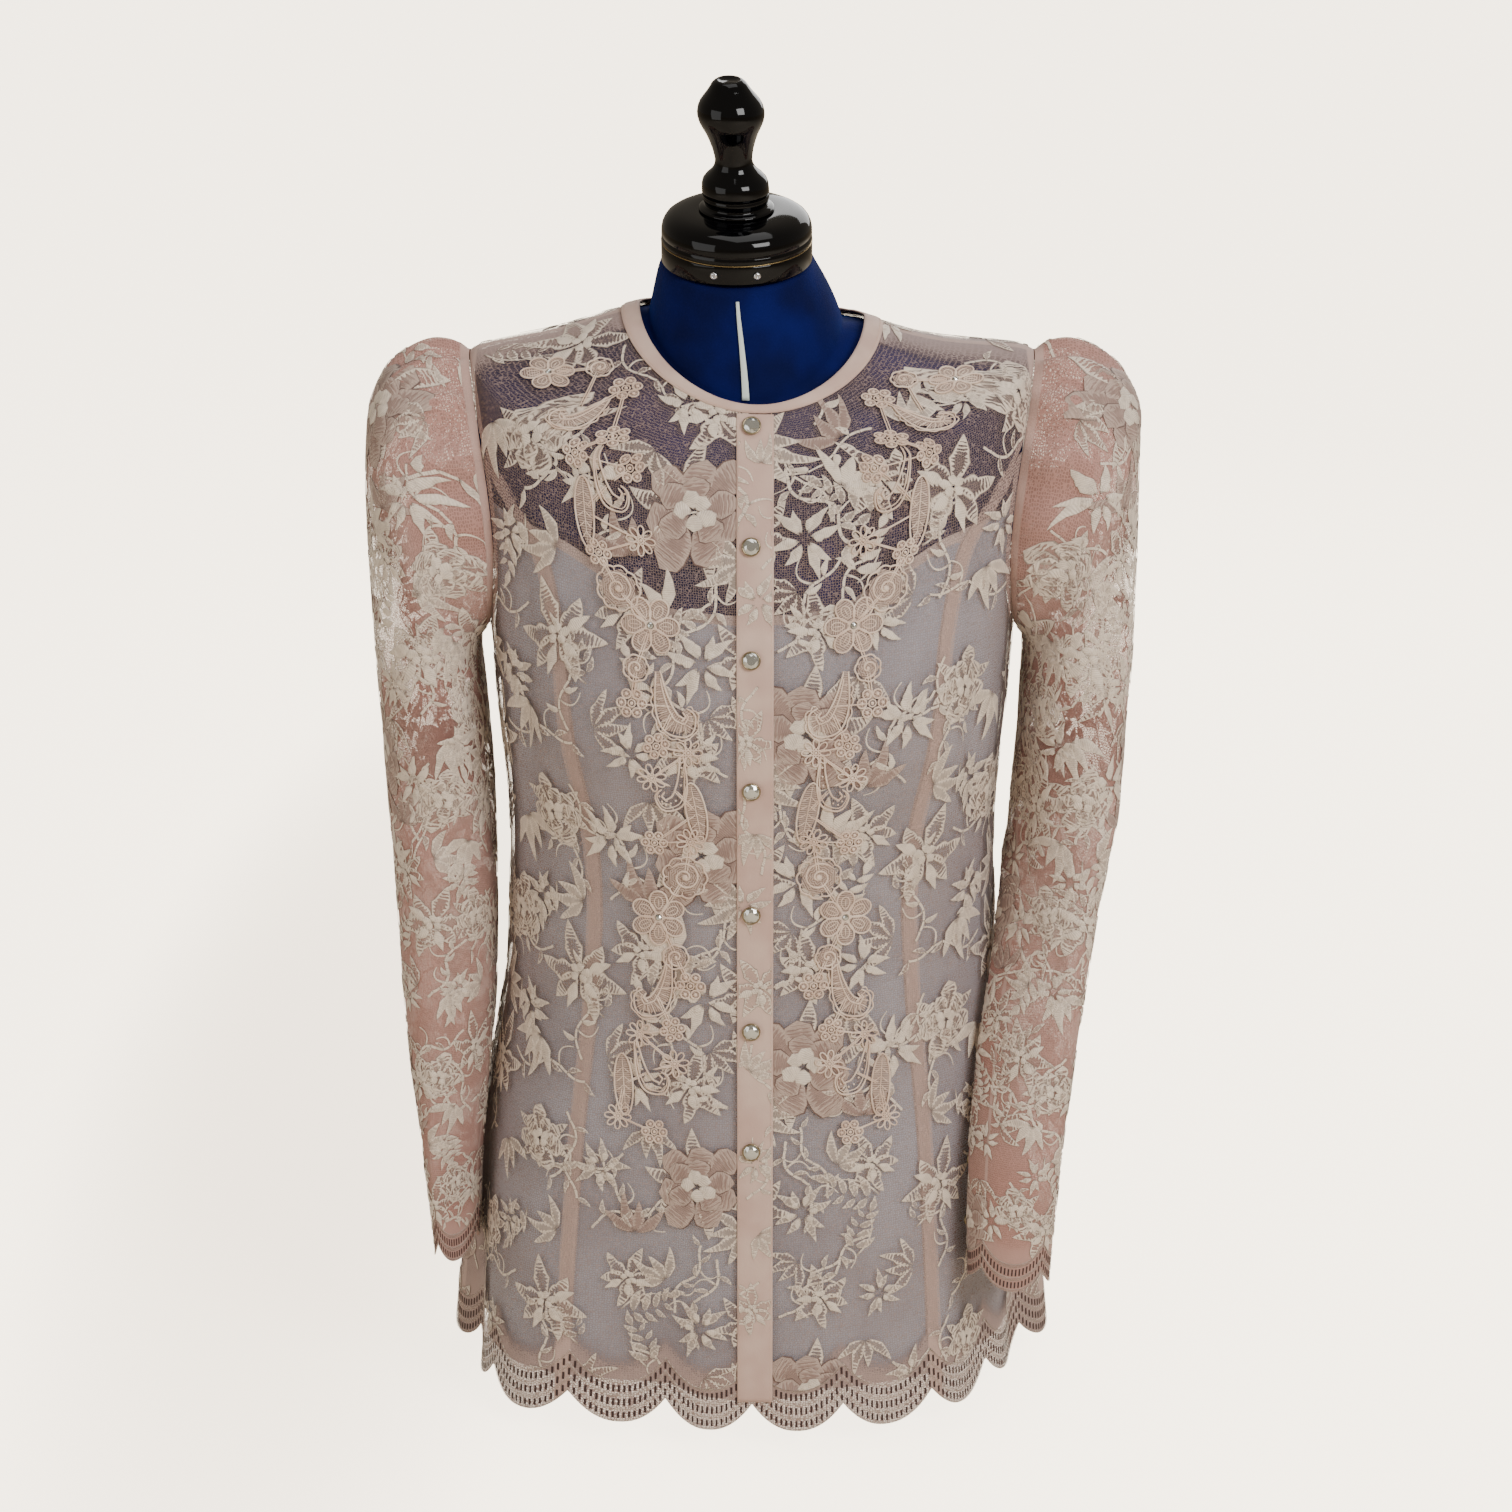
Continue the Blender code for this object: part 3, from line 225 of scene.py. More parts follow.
def metresPerLevel(around, level):
    below, above = np.minimum(level + nudge["level"], body["hem"]), np.maximum(level - nudge["level"], 0.0)
    apart = bodyPoint(around, below) - bodyPoint(around, above)
    return np.linalg.norm(apart, axis=-1) / (below - above)


# The sleeves, as in the solids
sleeveNames = ("down", "outerX", "outerZ", "innerX", "innerZ", "middleY", "halfDepth", "turn")
sleeveHead = (
    (0.000, 0.1880, 0.7420, 0.1780, 0.5560, 0.000, 0.050, 0.0),
    (0.022, 0.2110, 0.7470, 0.1860, 0.5440, -0.002, 0.068, 0.0),
)
sleeves = {
    "right": {"side": -1, "rows": (
        *sleeveHead,
        (0.050, 0.2420, 0.7330, 0.1860, 0.5300, -0.004, 0.078, 0.0),
        (0.085, 0.2560, 0.7020, 0.1840, 0.5140, -0.006, 0.080, 0.0),
        (0.130, 0.2590, 0.6520, 0.1820, 0.4920, -0.008, 0.076, 0.0),
        (0.200, 0.2570, 0.5720, 0.1790, 0.4560, -0.012, 0.070, 0.0),
        (0.290, 0.2520, 0.4700, 0.1775, 0.4000, -0.016, 0.062, 0.0),
        (0.380, 0.2460, 0.3700, 0.1785, 0.3300, -0.024, 0.055, 6.0),
        (0.470, 0.2390, 0.2700, 0.1815, 0.2500, -0.034, 0.048, 14.0),
        (0.550, 0.2290, 0.1900, 0.1860, 0.1800, -0.042, 0.042, 22.0),
        (0.625, 0.2230, 0.1120, 0.1900, 0.1080, -0.046, 0.037, 26.0),
    ), "creases": (
        (150, 0.120, 0.060, 9, -0.0035), (168, 0.200, 0.090, 8, -0.0040), (132, 0.170, 0.070, 8, 0.0025),
        (60, 0.275, 0.016, 45, -0.0022), (105, 0.300, 0.014, 40, -0.0026), (75, 0.325, 0.014, 42, 0.0018),
        (120, 0.420, 0.060, 9, -0.0022), (20, 0.380, 0.070, 9, -0.0018), (95, 0.520, 0.050, 8, 0.0014),
        (-60, 0.270, 0.018, 45, -0.0022), (-110, 0.300, 0.016, 40, -0.0022), (-80, 0.140, 0.070, 8, -0.0020),
        (-130, 0.220, 0.080, 8, -0.0028), (-40, 0.430, 0.070, 9, -0.0018),
    )},
    "left": {"side": 1, "rows": (
        *sleeveHead,
        (0.050, 0.2440, 0.7330, 0.1860, 0.5300, -0.004, 0.078, 0.0),
        (0.085, 0.2590, 0.7020, 0.1850, 0.5140, -0.006, 0.080, 0.0),
        (0.130, 0.2590, 0.6520, 0.1840, 0.4920, -0.010, 0.076, 0.0),
        (0.200, 0.2570, 0.5720, 0.1820, 0.4560, -0.018, 0.070, 6.0),
        (0.290, 0.2500, 0.4700, 0.1770, 0.4060, -0.034, 0.062, 16.0),
        (0.380, 0.2325, 0.3710, 0.1655, 0.3450, -0.060, 0.052, 28.0),
        (0.470, 0.2190, 0.2720, 0.1530, 0.2620, -0.089, 0.042, 38.0),
        (0.550, 0.2100, 0.1930, 0.1490, 0.1890, -0.107, 0.034, 42.0),
        (0.625, 0.2050, 0.1150, 0.1490, 0.1190, -0.114, 0.029, 42.0),
    ), "creases": (
        (152, 0.130, 0.060, 9, -0.0035), (166, 0.210, 0.085, 8, -0.0038), (138, 0.190, 0.070, 8, 0.0025),
        (65, 0.260, 0.016, 45, -0.0022), (100, 0.285, 0.014, 40, -0.0028), (70, 0.310, 0.014, 42, 0.0020),
        (125, 0.400, 0.060, 9, -0.0022), (35, 0.360, 0.070, 9, -0.0018), (80, 0.500, 0.050, 8, 0.0014),
        (-55, 0.265, 0.018, 45, -0.0022), (-105, 0.290, 0.016, 40, -0.0022), (-85, 0.150, 0.070, 8, -0.0020),
        (-135, 0.230, 0.080, 8, -0.0028), (-45, 0.440, 0.070, 9, -0.0018),
    )},
}
sleeve = {
    "standOff": 0.0006, "blend": 0.050, "clear": 0.0062, "clearBelow": 0.552, "gathers": 32,
    "gatherOut": 0.0042, "gatherLength": 0.060, "gatherSpread": 95.0, "scallops": 4,
    "scallopDepth": 0.014, "cuff": 0.625, "gatherFrom": 0.010, "mostLean": 0.75,
}


def armholePoint(side, turn):
    angle = np.radians(turn)
    around = side * (90.0 - body["armholeHalf"] * np.sin(angle))
    return bodyPoint(around, ovalMiddle - ovalHalf * np.cos(angle), False)


def sleeveSection(one, turn, down):
    row = rowAt(one["rows"], sleeveNames, down)
    angle, swing = np.radians(turn), np.radians(row["turn"])
    middleX, halfX = (row["outerX"] + row["innerX"]) / 2, (row["outerX"] - row["innerX"]) / 2
    middleZ, halfZ = (row["outerZ"] + row["innerZ"]) / 2, (row["outerZ"] - row["innerZ"]) / 2
    out, ahead = np.cos(angle), np.sin(angle)
    lean = np.minimum(np.sin(swing) * row["halfDepth"], sleeve["mostLean"] * halfX)
    wide = np.sqrt(halfX ** 2 - lean ** 2)
    x = middleX + wide * out + lean * ahead
    y = row["middleY"] + wide * np.tan(swing) * out - np.cos(swing) * row["halfDepth"] * ahead
    return np.stack(np.broadcast_arrays(one["side"] * x, y, middleZ + halfZ * out), -1)


def clearOfBody(point):
    # The sleeve lies against the body's side where the two would meet
    columns = np.array(bodyRows).T
    level = np.interp(-point[..., 2], -columns[2], columns[0])
    place = np.degrees(np.arctan2(point[..., 0], -point[..., 1]))
    best = place
    for _ in range(4):
        skin = bodyPoint(best, level)
        best = best + place - np.degrees(np.arctan2(skin[..., 0], -skin[..., 1]))
    least = np.linalg.norm(bodyPoint(best, level)[..., :2], axis=-1) + sleeve["clear"]
    flat = np.linalg.norm(point[..., :2], axis=-1)
    push = np.where((flat < least) & (point[..., 2] < sleeve["clearBelow"]), least / flat, 1.0)
    return point * np.stack([push, push, 0 * push + 1], -1)


def sleevePoint(one, turn, down):
    turn, down = np.broadcast_arrays(np.asarray(turn, float), np.asarray(down, float))
    side = one["side"]
    point = sleeveSection(one, turn, down)
    middle = (sleeveSection(one, 0 * turn, down) + sleeveSection(one, 0 * turn + 180, down)) / 2
    seam = armholePoint(side, turn) + np.array((side * sleeve["standOff"], 0, 0))
    share = np.where(down < sleeve["blend"], 1 - smoothStep(down / sleeve["blend"]), 0)
    point = point + (seam - sleeveSection(one, turn, 0 * down)) * share[..., None]
    top = np.abs(angleApart(turn, 0)) / sleeve["gatherSpread"]
    full = sleeve["gatherFrom"]
    swell = smoothStep(down / full) * (1 - smoothStep((down - full) / sleeve["gatherLength"]))
    wave = np.cos(np.radians(turn) * sleeve["gathers"] / 2)
    out = sleeve["gatherOut"] * wave * swell * np.exp(-(top ** 4))
    for turnAt, downAt, length, width, depth in one["creases"]:
        near = angleApart(turn, turnAt) / width
        out = out + depth * np.exp(-near * near - ((down - downAt) / length) ** 2)
    return clearOfBody(point + unit(point - middle) * out[..., None])


def sleeveNormal(one, turn, down):
    step, fall = nudge["turn"], nudge["down"]
    around = sleevePoint(one, turn + step, down) - sleevePoint(one, turn - step, down)
    along = sleevePoint(one, turn, down + fall) - sleevePoint(one, turn, np.maximum(down - fall, 0))
    return unit(np.cross(along, around)) * (-one["side"])


def sleeveCloth(one, turn, down, out=0.0):
    turn, down = np.broadcast_arrays(np.asarray(turn, float), np.asarray(down, float))
    return sleevePoint(one, turn, down) + sleeveNormal(one, turn, down) * np.asarray(out)[..., None]


def cuffLevel(turn):
    lobe = 360.0 / sleeve["scallops"]
    across = 2 * (np.asarray(turn, float) % lobe) / lobe - 1
    return sleeve["cuff"] - sleeve["scallopDepth"] * np.abs(across) ** body["scallopPower"]


# Nodes of materials and of geometry are added in one way
def addNode(tree, kind, settings=None, inputs=None, output=0):
    node = tree.nodes.new(kind)
    for name, value in (settings or {}).items():
        if name == "stops":
            ramp = node.color_ramp.elements
            while len(ramp) < len(value):
                ramp.new(0.5)
            for element, (position, colour) in zip(ramp, value):
                element.position, element.color = position, (*colour, 1)
        else:
            setattr(node, name, value)
    for key, value in (inputs or {}).items():
        if isinstance(value, Wire):
            tree.links.new(value.socket, node.inputs[key])
        elif value is not None:
            node.inputs[key].default_value = value
    return Wire(tree, node.outputs[output], node)


class Wire:
    # One socket; an expression on values adds its Math nodes
    def __init__(self, tree, socket, node=None):
        self.tree, self.socket, self.node = tree, socket, node

    def maths(self, operation, first, second=None, third=None):
        return addNode(self.tree, "ShaderNodeMath", {"operation": operation}, {0: first, 1: second, 2: third})

    def out(self, name):
        return Wire(self.tree, self.node.outputs[name], self.node)

    def __add__(self, other):
        return self.maths("ADD", self, other)

    def __sub__(self, other):
        return self.maths("SUBTRACT", self, other)

    def __rsub__(self, other):
        return self.maths("SUBTRACT", other, self)

    def __mul__(self, other):
        return self.maths("MULTIPLY", self, other)

    def __truediv__(self, other):
        return self.maths("DIVIDE", self, other)

    def __abs__(self):
        return self.maths("ABSOLUTE", self)

    __radd__ = __add__
    __rmul__ = __mul__

    def sine(self):
        return self.maths("SINE", self)

    def ramp(self, low, high):
        # 0 below low, 1 above high, soft between them
        return addNode(
            self.tree, "ShaderNodeMapRange", {"interpolation_type": "SMOOTHSTEP"},
            {"Value": self, "From Min": low, "From Max": high},
        )


def mixColour(tree, factor, first, second):
    node = tree.nodes.new("ShaderNodeMix")
    node.data_type = "RGBA"
    for key, value in (("Factor_Float", factor), ("A_Color", first), ("B_Color", second)):
        socket = next(s for s in node.inputs if s.identifier == key)
        if isinstance(value, Wire):
            tree.links.new(value.socket, socket)
        else:
            socket.default_value = value if key == "Factor_Float" else (*value, 1)
    return Wire(tree, next(s for s in node.outputs if s.identifier == "Result_Color"), node)


def addClamp(tree, value):
    return addNode(tree, "ShaderNodeClamp", {}, {"Value": value})


def largest(tree, first, second):
    return addNode(tree, "ShaderNodeMath", {"operation": "MAXIMUM"}, {0: first, 1: second})


def attribute(tree, name):
    return addNode(tree, "ShaderNodeAttribute", {"attribute_name": name}).out("Fac")


def place(tree, source="Object"):
    return addNode(tree, "ShaderNodeTexCoord").out(source)


def noise(tree, vector, scale, detail=2.0):
    return addNode(tree, "ShaderNodeTexNoise", {}, {"Vector": vector, "Scale": scale, "Detail": detail})


def bump(tree, height, distance, strength=1.0):
    return addNode(
        tree, "ShaderNodeBump", {}, {"Height": height, "Distance": distance, "Strength": strength}
    )


def material(name, dress):
    made = bpy.data.materials.new(name)
    made.use_nodes = True
    tree = made.node_tree
    shader = tree.nodes["Principled BSDF"]
    for key, value in dress(tree).items():
        if isinstance(value, Wire):
            tree.links.new(value.socket, shader.inputs[key])
        else:
            shader.inputs[key].default_value = value
    return made


def linear(red, green, blue):
    # Colours are named as they look on a screen, 0 to 255
    return tuple(
        c / 12.92 if c <= 0.04045 else ((c + 0.055) / 1.055) ** 2.4
        for c in (red / 255, green / 255, blue / 255)
    )


colours = {
    "net": linear(158, 136, 132), "sleeveNet": linear(184, 136, 124), "seam": linear(196, 166, 154),
    "lining": linear(176, 175, 184), "liningShade": linear(152, 147, 154),
    "liningSeam": linear(206, 182, 172),
    "taupe": linear(178, 148, 136), "champagne": linear(250, 232, 212), "outline": linear(88, 62, 56),
    "band": linear(216, 186, 170), "bandShade": linear(202, 168, 154), "cord": linear(242, 218, 198),
    "cordShade": linear(222, 192, 170), "fill": linear(166, 138, 126), "felt": linear(1, 7, 56),
    "feltLight": linear(2, 14, 84), "feltSheen": linear(40, 90, 190), "gloss": linear(2, 2, 4),
    "cup": linear(150, 134, 108), "stone": linear(206, 206, 200), "strip": linear(216, 228, 222),
    "steel": linear(200, 200, 204), "gold": linear(150, 130, 92), "thread": linear(220, 184, 160),
    # The eyelet colour is painted shade: the dark seen through the holes of the border
    "eyelet": linear(64, 44, 42), "backdrop": linear(246, 233, 212), "backdropShade": linear(196, 182, 166),
}


def netLook(ground, thin):
    # "thin" is how much of the ground between the threads is seen
    def dress(tree):
        flat = place(tree, "UV")
        cells = addNode(
            tree, "ShaderNodeTexVoronoi", {"feature": "DISTANCE_TO_EDGE"},
            {"Vector": flat, "Scale": 620.0, "Randomness": 0.5},
        )
        thread = 1 - cells.ramp(0.06, 0.20)
        seam = 1 - attribute(tree, "toSeam").ramp(0.0052, 0.0062)
        dense = 1 - attribute(tree, "toHem").ramp(0.0340, 0.0500)
        sheer, side = attribute(tree, "sheer"), attribute(tree, "side")
        shade = noise(tree, flat, 9.0).ramp(0.35, 0.7)
        colour = mixColour(tree, shade * 0.5, colours[ground], colours["taupe"])
        colour = mixColour(tree, addClamp(tree, seam * 0.7 + dense * 0.25), colour, colours["seam"])
        woven = thread * (0.50 - sheer * 0.2) + thin * (1 - sheer)
        solid = addClamp(tree, woven + seam * 0.34 + dense * 0.78 + side * 0.8)
        return {
            "Base Color": colour, "Roughness": 0.75, "Alpha": solid,
            "Normal": bump(tree, thread, 0.0002, 0.5), "Sheen Weight": 0.15,
        }
    return dress


def embroideryLook(tree):
    # Tone 0 is a full taupe petal, 0.5 an open one with a ragged satin rim and 1 full pale satin
    across, along, share, tone = (attribute(tree, name) for name in ("across", "along", "share", "tone"))
    edge = abs(across)
    patchy = noise(tree, place(tree), 170.0)
    jag = (along * 2400.0 + patchy * 9.0).sine() * 0.16
    reach = largest(tree, edge, share * 1.02 - 0.14)
    rim = (reach + jag).ramp(0.52, 0.66)
    opened = 1 - abs(tone * 2 - 1)
    fill = mixColour(tree, tone.ramp(0.3, 1.0), colours["taupe"], colours["champagne"])
    colour = mixColour(tree, rim * (0.22 + tone.ramp(0.05, 0.45) * 0.7), fill, colours["champagne"])
    dark = edge.ramp(0.88, 0.94) * (0.95 - tone * 0.55)
    base = (1 - share.ramp(0.02, 0.14)) * 0.6
    colour = mixColour(tree, addClamp(tree, dark + base), colour, colours["outline"])
    stitch = (along * 4600.0 + across * 1.6).sine() * 0.5 + 0.5
    worn = patchy.ramp(0.42, 0.62)
    colour = mixColour(tree, stitch * 0.16 + worn * 0.16, colour, colours["outline"])
    return {
        "Base Color": colour, "Roughness": 0.42 + (1 - tone) * 0.25, "Sheen Weight": 0.2,
        "Alpha": addClamp(tree, 0.94 - opened * 0.72 * (1 - rim) + dark),
        "Normal": bump(tree, stitch, 0.0003, 0.7),
    }


def fillLook(tree):
    # Open thread between the cords of the guipure
    across, along = attribute(tree, "across"), attribute(tree, "along")
    rows = (along * 4200.0).sine() * 0.5 + 0.5
    colour = mixColour(tree, rows * 0.5, colours["fill"], colours["cord"])
    return {
        "Base Color": colour, "Roughness": 0.7, "Alpha": 0.45 + rows * 0.4 + abs(across) * 0.1,
        "Normal": bump(tree, rows, 0.0003, 0.5),
    }


def liningLook(tree):
    flat = place(tree, "UV")
    weave = (addNode(tree, "ShaderNodeSeparateXYZ", {}, {0: flat}).out("X") * 9000.0).sine()
    soft = noise(tree, flat, 14.0, 3.0)
    colour = mixColour(tree, soft.ramp(0.3, 0.75), colours["lining"], colours["liningShade"])
    seam = 1 - attribute(tree, "toSeam").ramp(0.0060, 0.0068)
    colour = mixColour(tree, seam, colour, colours["liningSeam"])
    return {
        "Base Color": colour, "Roughness": 0.5, "Sheen Weight": 0.15,
        "Normal": bump(tree, weave, 0.00005, 0.2),
    }


def spunLook(light, dark, broad, fine, roughness, relief):
    # Cloth or cord of two shades that mix in broad clouds, with a fine weave or twist
    def dress(tree):
        flat = place(tree)
        shade = noise(tree, flat, broad).ramp(0.3, 0.7)
        return {
            "Base Color": mixColour(tree, shade, colours[light], colours[dark]), "Roughness": roughness,
            "Sheen Weight": 0.3, "Normal": bump(tree, noise(tree, flat, fine), 0.0003, relief),
        }
    return dress


def feltLook(tree):
    flat = place(tree)
    nap = noise(tree, flat, 700.0, 4.0)
    colour = mixColour(tree, noise(tree, flat, 25.0).ramp(0.3, 0.8), colours["felt"], colours["feltLight"])
    return {
        "Base Color": colour, "Roughness": 0.9, "Sheen Weight": 0.3, "Sheen Roughness": 0.35,
        "Specular IOR Level": 0.15, "Sheen Tint": (*colours["feltSheen"], 1),
        "Normal": bump(tree, nap, 0.0004, 0.6),
    }


def plainLook(colour, roughness, metallic=0.0, coat=0.0, shine=0.5):
    def dress(tree):
        return {
            "Base Color": (*colour, 1), "Roughness": roughness, "Metallic": metallic, "Coat Weight": coat,
            "Specular IOR Level": shine,
        }
    return dress


looks = {
    "net": material("net of the body", netLook("net", 0.05)),
    "sleeveNet": material("net of the sleeves", netLook("sleeveNet", 0.66)),
    "embroidery": material("satin embroidery", embroideryLook),
    "lining": material("lining", liningLook),
    "band": material("bias cloth", spunLook("band", "bandShade", 40.0, 900.0, 0.7, 0.4)),
    "cord": material("guipure cord", spunLook("cord", "cordShade", 60.0, 1400.0, 0.6, 0.5)),
    "felt": material("felt cover", feltLook),
    "gloss": material("gloss black", plainLook(colours["gloss"], 0.06, shine=0.28)),
    "cup": material("pale metal", plainLook(colours["cup"], 0.3, 1.0)),
    "stone": material("clear stone", plainLook(colours["stone"], 0.06, 0.85, 1.0)),
    "strip": material("pale strip", plainLook(colours["strip"], 0.35)),
    "steel": material("steel", plainLook(colours["steel"], 0.25, 1.0)),
    "gold": material("gold line", plainLook(colours["gold"], 0.35, 1.0)),
    "thread": material("thread", plainLook(colours["thread"], 0.6)),
    # Painted shade for the eyelet holes: a flat dark look, not a cloth
    "eyelet": material("eyelet", plainLook(colours["eyelet"], 0.8)),
    "fill": material("guipure filling", fillLook),
}


# Meshes
def addObject(name, data):
    made = bpy.data.objects.new(name, data)
    bpy.context.scene.collection.objects.link(made)
    return made


def meshFrom(name, points, faces, look, layers=None, smooth=True):
    points = np.asarray(points, float).reshape(-1, 3)
    faces = np.asarray(faces)
    mesh = bpy.data.meshes.new(name)
    mesh.vertices.add(len(points))
    mesh.vertices.foreach_set("co", points.ravel())
    mesh.loops.add(faces.size)
    mesh.loops.foreach_set("vertex_index", faces.ravel())
    mesh.polygons.add(len(faces))
    mesh.polygons.foreach_set("loop_start", np.arange(len(faces)) * faces.shape[1])
    mesh.update(calc_edges=True)
    for layer, values in (layers or {}).items():
        if layer == "uv":
            flat = np.asarray(values, float).reshape(-1, 2)[faces.ravel()]
            mesh.uv_layers.new(name="flat").data.foreach_set("uv", flat.ravel())
        else:
            kept = mesh.attributes.new(layer, "FLOAT", "POINT")
            kept.data.foreach_set("value", np.asarray(values, float).ravel())
    mesh.polygons.foreach_set("use_smooth", [smooth] * len(faces))
    mesh.validate()
    mesh.materials.append(looks[look])
    return addObject(name.replace(" ", "_"), mesh)


def gridFaces(rows, columns, joined=False, turned=False):
    wide = columns if joined else columns - 1
    i, j = np.meshgrid(np.arange(rows - 1), np.arange(wide), indexing="ij")
    k = (j + 1) % columns
    quads = np.stack([i * columns + j, (i + 1) * columns + j, (i + 1) * columns + k, i * columns + k], -1)
    quads = quads.reshape(-1, 4)
    return quads[:, ::-1] if turned else quads


def settle(piece, nodes=()):
    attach(piece, "root")
    if nodes:
        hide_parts(*nodes)
    return piece


def nearestDistance(points, curve):
    flat = points.reshape(-1, 3)
    best = np.full(len(flat), 1.0)
    for stop in curve:
        best = np.minimum(best, np.linalg.norm(flat - stop, axis=1))
    return best.reshape(points.shape[:-1])


def seamCurves():
    # Places around and levels along each seam, as points about 4 mm apart
    low = 0.72
    oval = ovalMiddle - ovalHalf * np.cos(np.radians(np.linspace(0, 180, 90)))
    shoulder = np.linspace(0, body["shoulder"], 20)
    princess = np.linspace(bodyNet["sideTop"], low, 155)
    side = np.linspace(body["underarm"], low, 130)
    return {
        "shoulder": (90 + 0 * shoulder, shoulder), "side": (90 + 0 * side, side),
        "armholeFront": (armholeAround(oval), oval), "armholeBack": (180 - armholeAround(oval), oval),
        "princess": (princessAround(princess), princess),
    }


# Net of the body, panel by panel
bodyNet = {
    "rows": 74, "scallopRows": 7, "armholeRows": 30, "shoulderRows": 10, "lastEven": 0.660, "sideTop": 0.100,
    "frontColumns": 45, "backColumns": 150, "metresInDegree": 0.0029, "patternFrom": 0.01,
}


def netLevels(top):
    oval = ovalMiddle - ovalHalf * np.cos(np.linspace(0, np.pi, bodyNet["armholeRows"]))
    levels = np.concatenate([
        np.linspace(0, body["shoulder"], bodyNet["shoulderRows"] + 1)[:-1], oval, [top],
        np.linspace(body["underarm"], bodyNet["lastEven"], bodyNet["rows"])[1:],
    ])
    levels = np.unique(np.round(levels, 6))
    return levels[levels >= top]


def panelGrid(start, end, columns, top):
    levels = netLevels(top)
    share = np.linspace(0, 1, columns + 1)[None, :]
    first, last = start(levels)[:, None], end(levels)[:, None]
    around = first + (last - first) * share
    level = levels[:, None] + 0 * around
    hemFirst, hemLast = start(np.array([body["hem"]])), end(np.array([body["hem"]]))
    hemAround = hemFirst + (hemLast - hemFirst) * share[0]
    down = np.linspace(0, 1, bodyNet["scallopRows"] + 1)[1:, None]
    lowAround = around[-1] + (hemAround - around[-1]) * down
    lowLevel = bodyNet["lastEven"] + (scallopLevel(hemAround) - bodyNet["lastEven"]) * down
    return np.vstack([around, lowAround]), np.vstack([level, lowLevel])


def centreFront(level):
    return 0 * np.asarray(level, float)


def backStart(level):
    return 180.0 - armholeAround(level)


def backEnd(level):
    return 180.0 + armholeAround(level)


def mirrored(start, end, side):
    if side > 0:
        return start, end
    return lambda level: -end(level), lambda level: -start(level)


# Where the net thickens because it turns away: near the side and shoulder seams, and at the back of the neck
turnedAway = {"from": 7.0, "over": 9.0, "neckLevel": 0.010, "neckShare": 1.6, "neckFrom": 75.0}


def clothSheet(name, around, level, out, look, curves):
    points = clothPoint(around, level, out)
    toSeam = np.full(around.shape, 1.0)
    for curve in curves:
        toSeam = np.minimum(toSeam, nearestDistance(points, curve))
    flat = np.stack([around * bodyNet["metresInDegree"] + bodyNet["patternFrom"], level], -1)
    side = np.clip(1 - (np.abs(np.abs(around) - 90) - turnedAway["from"]) / turnedAway["over"], 0, 1)
    neck = np.clip(turnedAway["neckShare"] - level / turnedAway["neckLevel"], 0, 1)
    side = np.maximum(side, neck * (np.abs(around) > turnedAway["neckFrom"]))
    layers = {"uv": flat, "toSeam": toSeam, "toHem": scallopLevel(around) - level, "side": side}
    return meshFrom(name, points, gridFaces(*around.shape), look, layers)


def sheetSeams(names, side):
    lines = seamCurves()
    return [clothPoint(side * lines[name][0], lines[name][1]) for name in names]


shellPieces = {}


def sewShell(name, solid, grid, out, look, seams):
    piece = clothSheet(name, *grid, out, look, seams)
    shellPieces[solid] = settle(piece, [solid])


def makeBodyNet():
    columns = bodyNet["frontColumns"]
    for word, side in (("right", -1), ("left", 1)):
        seams = sheetSeams(("shoulder", "armholeFront", "princess"), side)
        grid = panelGrid(*mirrored(centreFront, princessAround, side), columns, 0.0)
        sewShell(f"front net {word}", f"front_{word}", grid, 0.0, "net", seams)
        seams = sheetSeams(("armholeFront", "princess", "side"), side)
        grid = panelGrid(*mirrored(princessAround, armholeAround, side), columns, bodyNet["sideTop"])
        sewShell(f"side front net {word}", f"side_front_{word}", grid, 0.0, "net", seams)
    seams = [curve for side in (1, -1) for curve in sheetSeams(("shoulder", "armholeBack", "side"), side)]
    grid = panelGrid(backStart, backEnd, bodyNet["backColumns"], 0.0)
    sewShell("back net", "back", grid, 0.0, "net", seams)


# Lining, lower at the neck and shorter at the hem
scoopRows = ((0.0, 0.1520), (18.0, 0.1490), (34.0, 0.1290), (46.0, 0.1205), (54.0, 0.1205), (66.0, 0.1225))
lining = {
    "out": -0.0028, "backOut": -0.0033, "seamTop": 0.1205, "sideTop": 0.122, "backTop": 0.112, "hem": 0.700,
    "columns": 40, "backColumns": 130, "rows": 75, "topRows": 13, "lowRows": 60, "scoopAround": 50.0,
    "scoopStops": 120,
}
liningFrontRows = (  # level at the centre front and at the seam
    (0.152, 0.1205), (0.162, 0.130), (0.180, 0.165), (0.200, 0.200), (0.250, 0.250),
    (0.330, 0.330), (0.420, 0.420), (0.540, 0.540), (0.660, 0.660), (0.700, 0.700),
)


def scoopLevel(around):
    return cubicThrough(*np.array(scoopRows).T, np.abs(around))


def liningFrontGrid(side):
    rows = np.array(liningFrontRows)
    step, topPart = np.arange(len(rows)), 3  # the rows close to the neck's edge are laid closer
    fine = np.unique(np.concatenate([
        np.linspace(0, topPart, lining["topRows"]), np.linspace(topPart, len(rows) - 1, lining["lowRows"]),
    ]))
    centre, seam = np.interp(fine, step, rows[:, 0]), np.interp(fine, step, rows[:, 1])
    share = np.linspace(0, 1, lining["columns"] + 1)[None, :]
    around = princessAround(seam)[:, None] * share
    drop = scoopLevel(0) - lining["seamTop"]
    lean = np.minimum((scoopLevel(0) - scoopLevel(around)) / drop, 1.0)
    level = centre[:, None] + (seam - centre)[:, None] * lean
    if side < 0:
        around, level = -around[:, ::-1], level[:, ::-1]
    return around, level


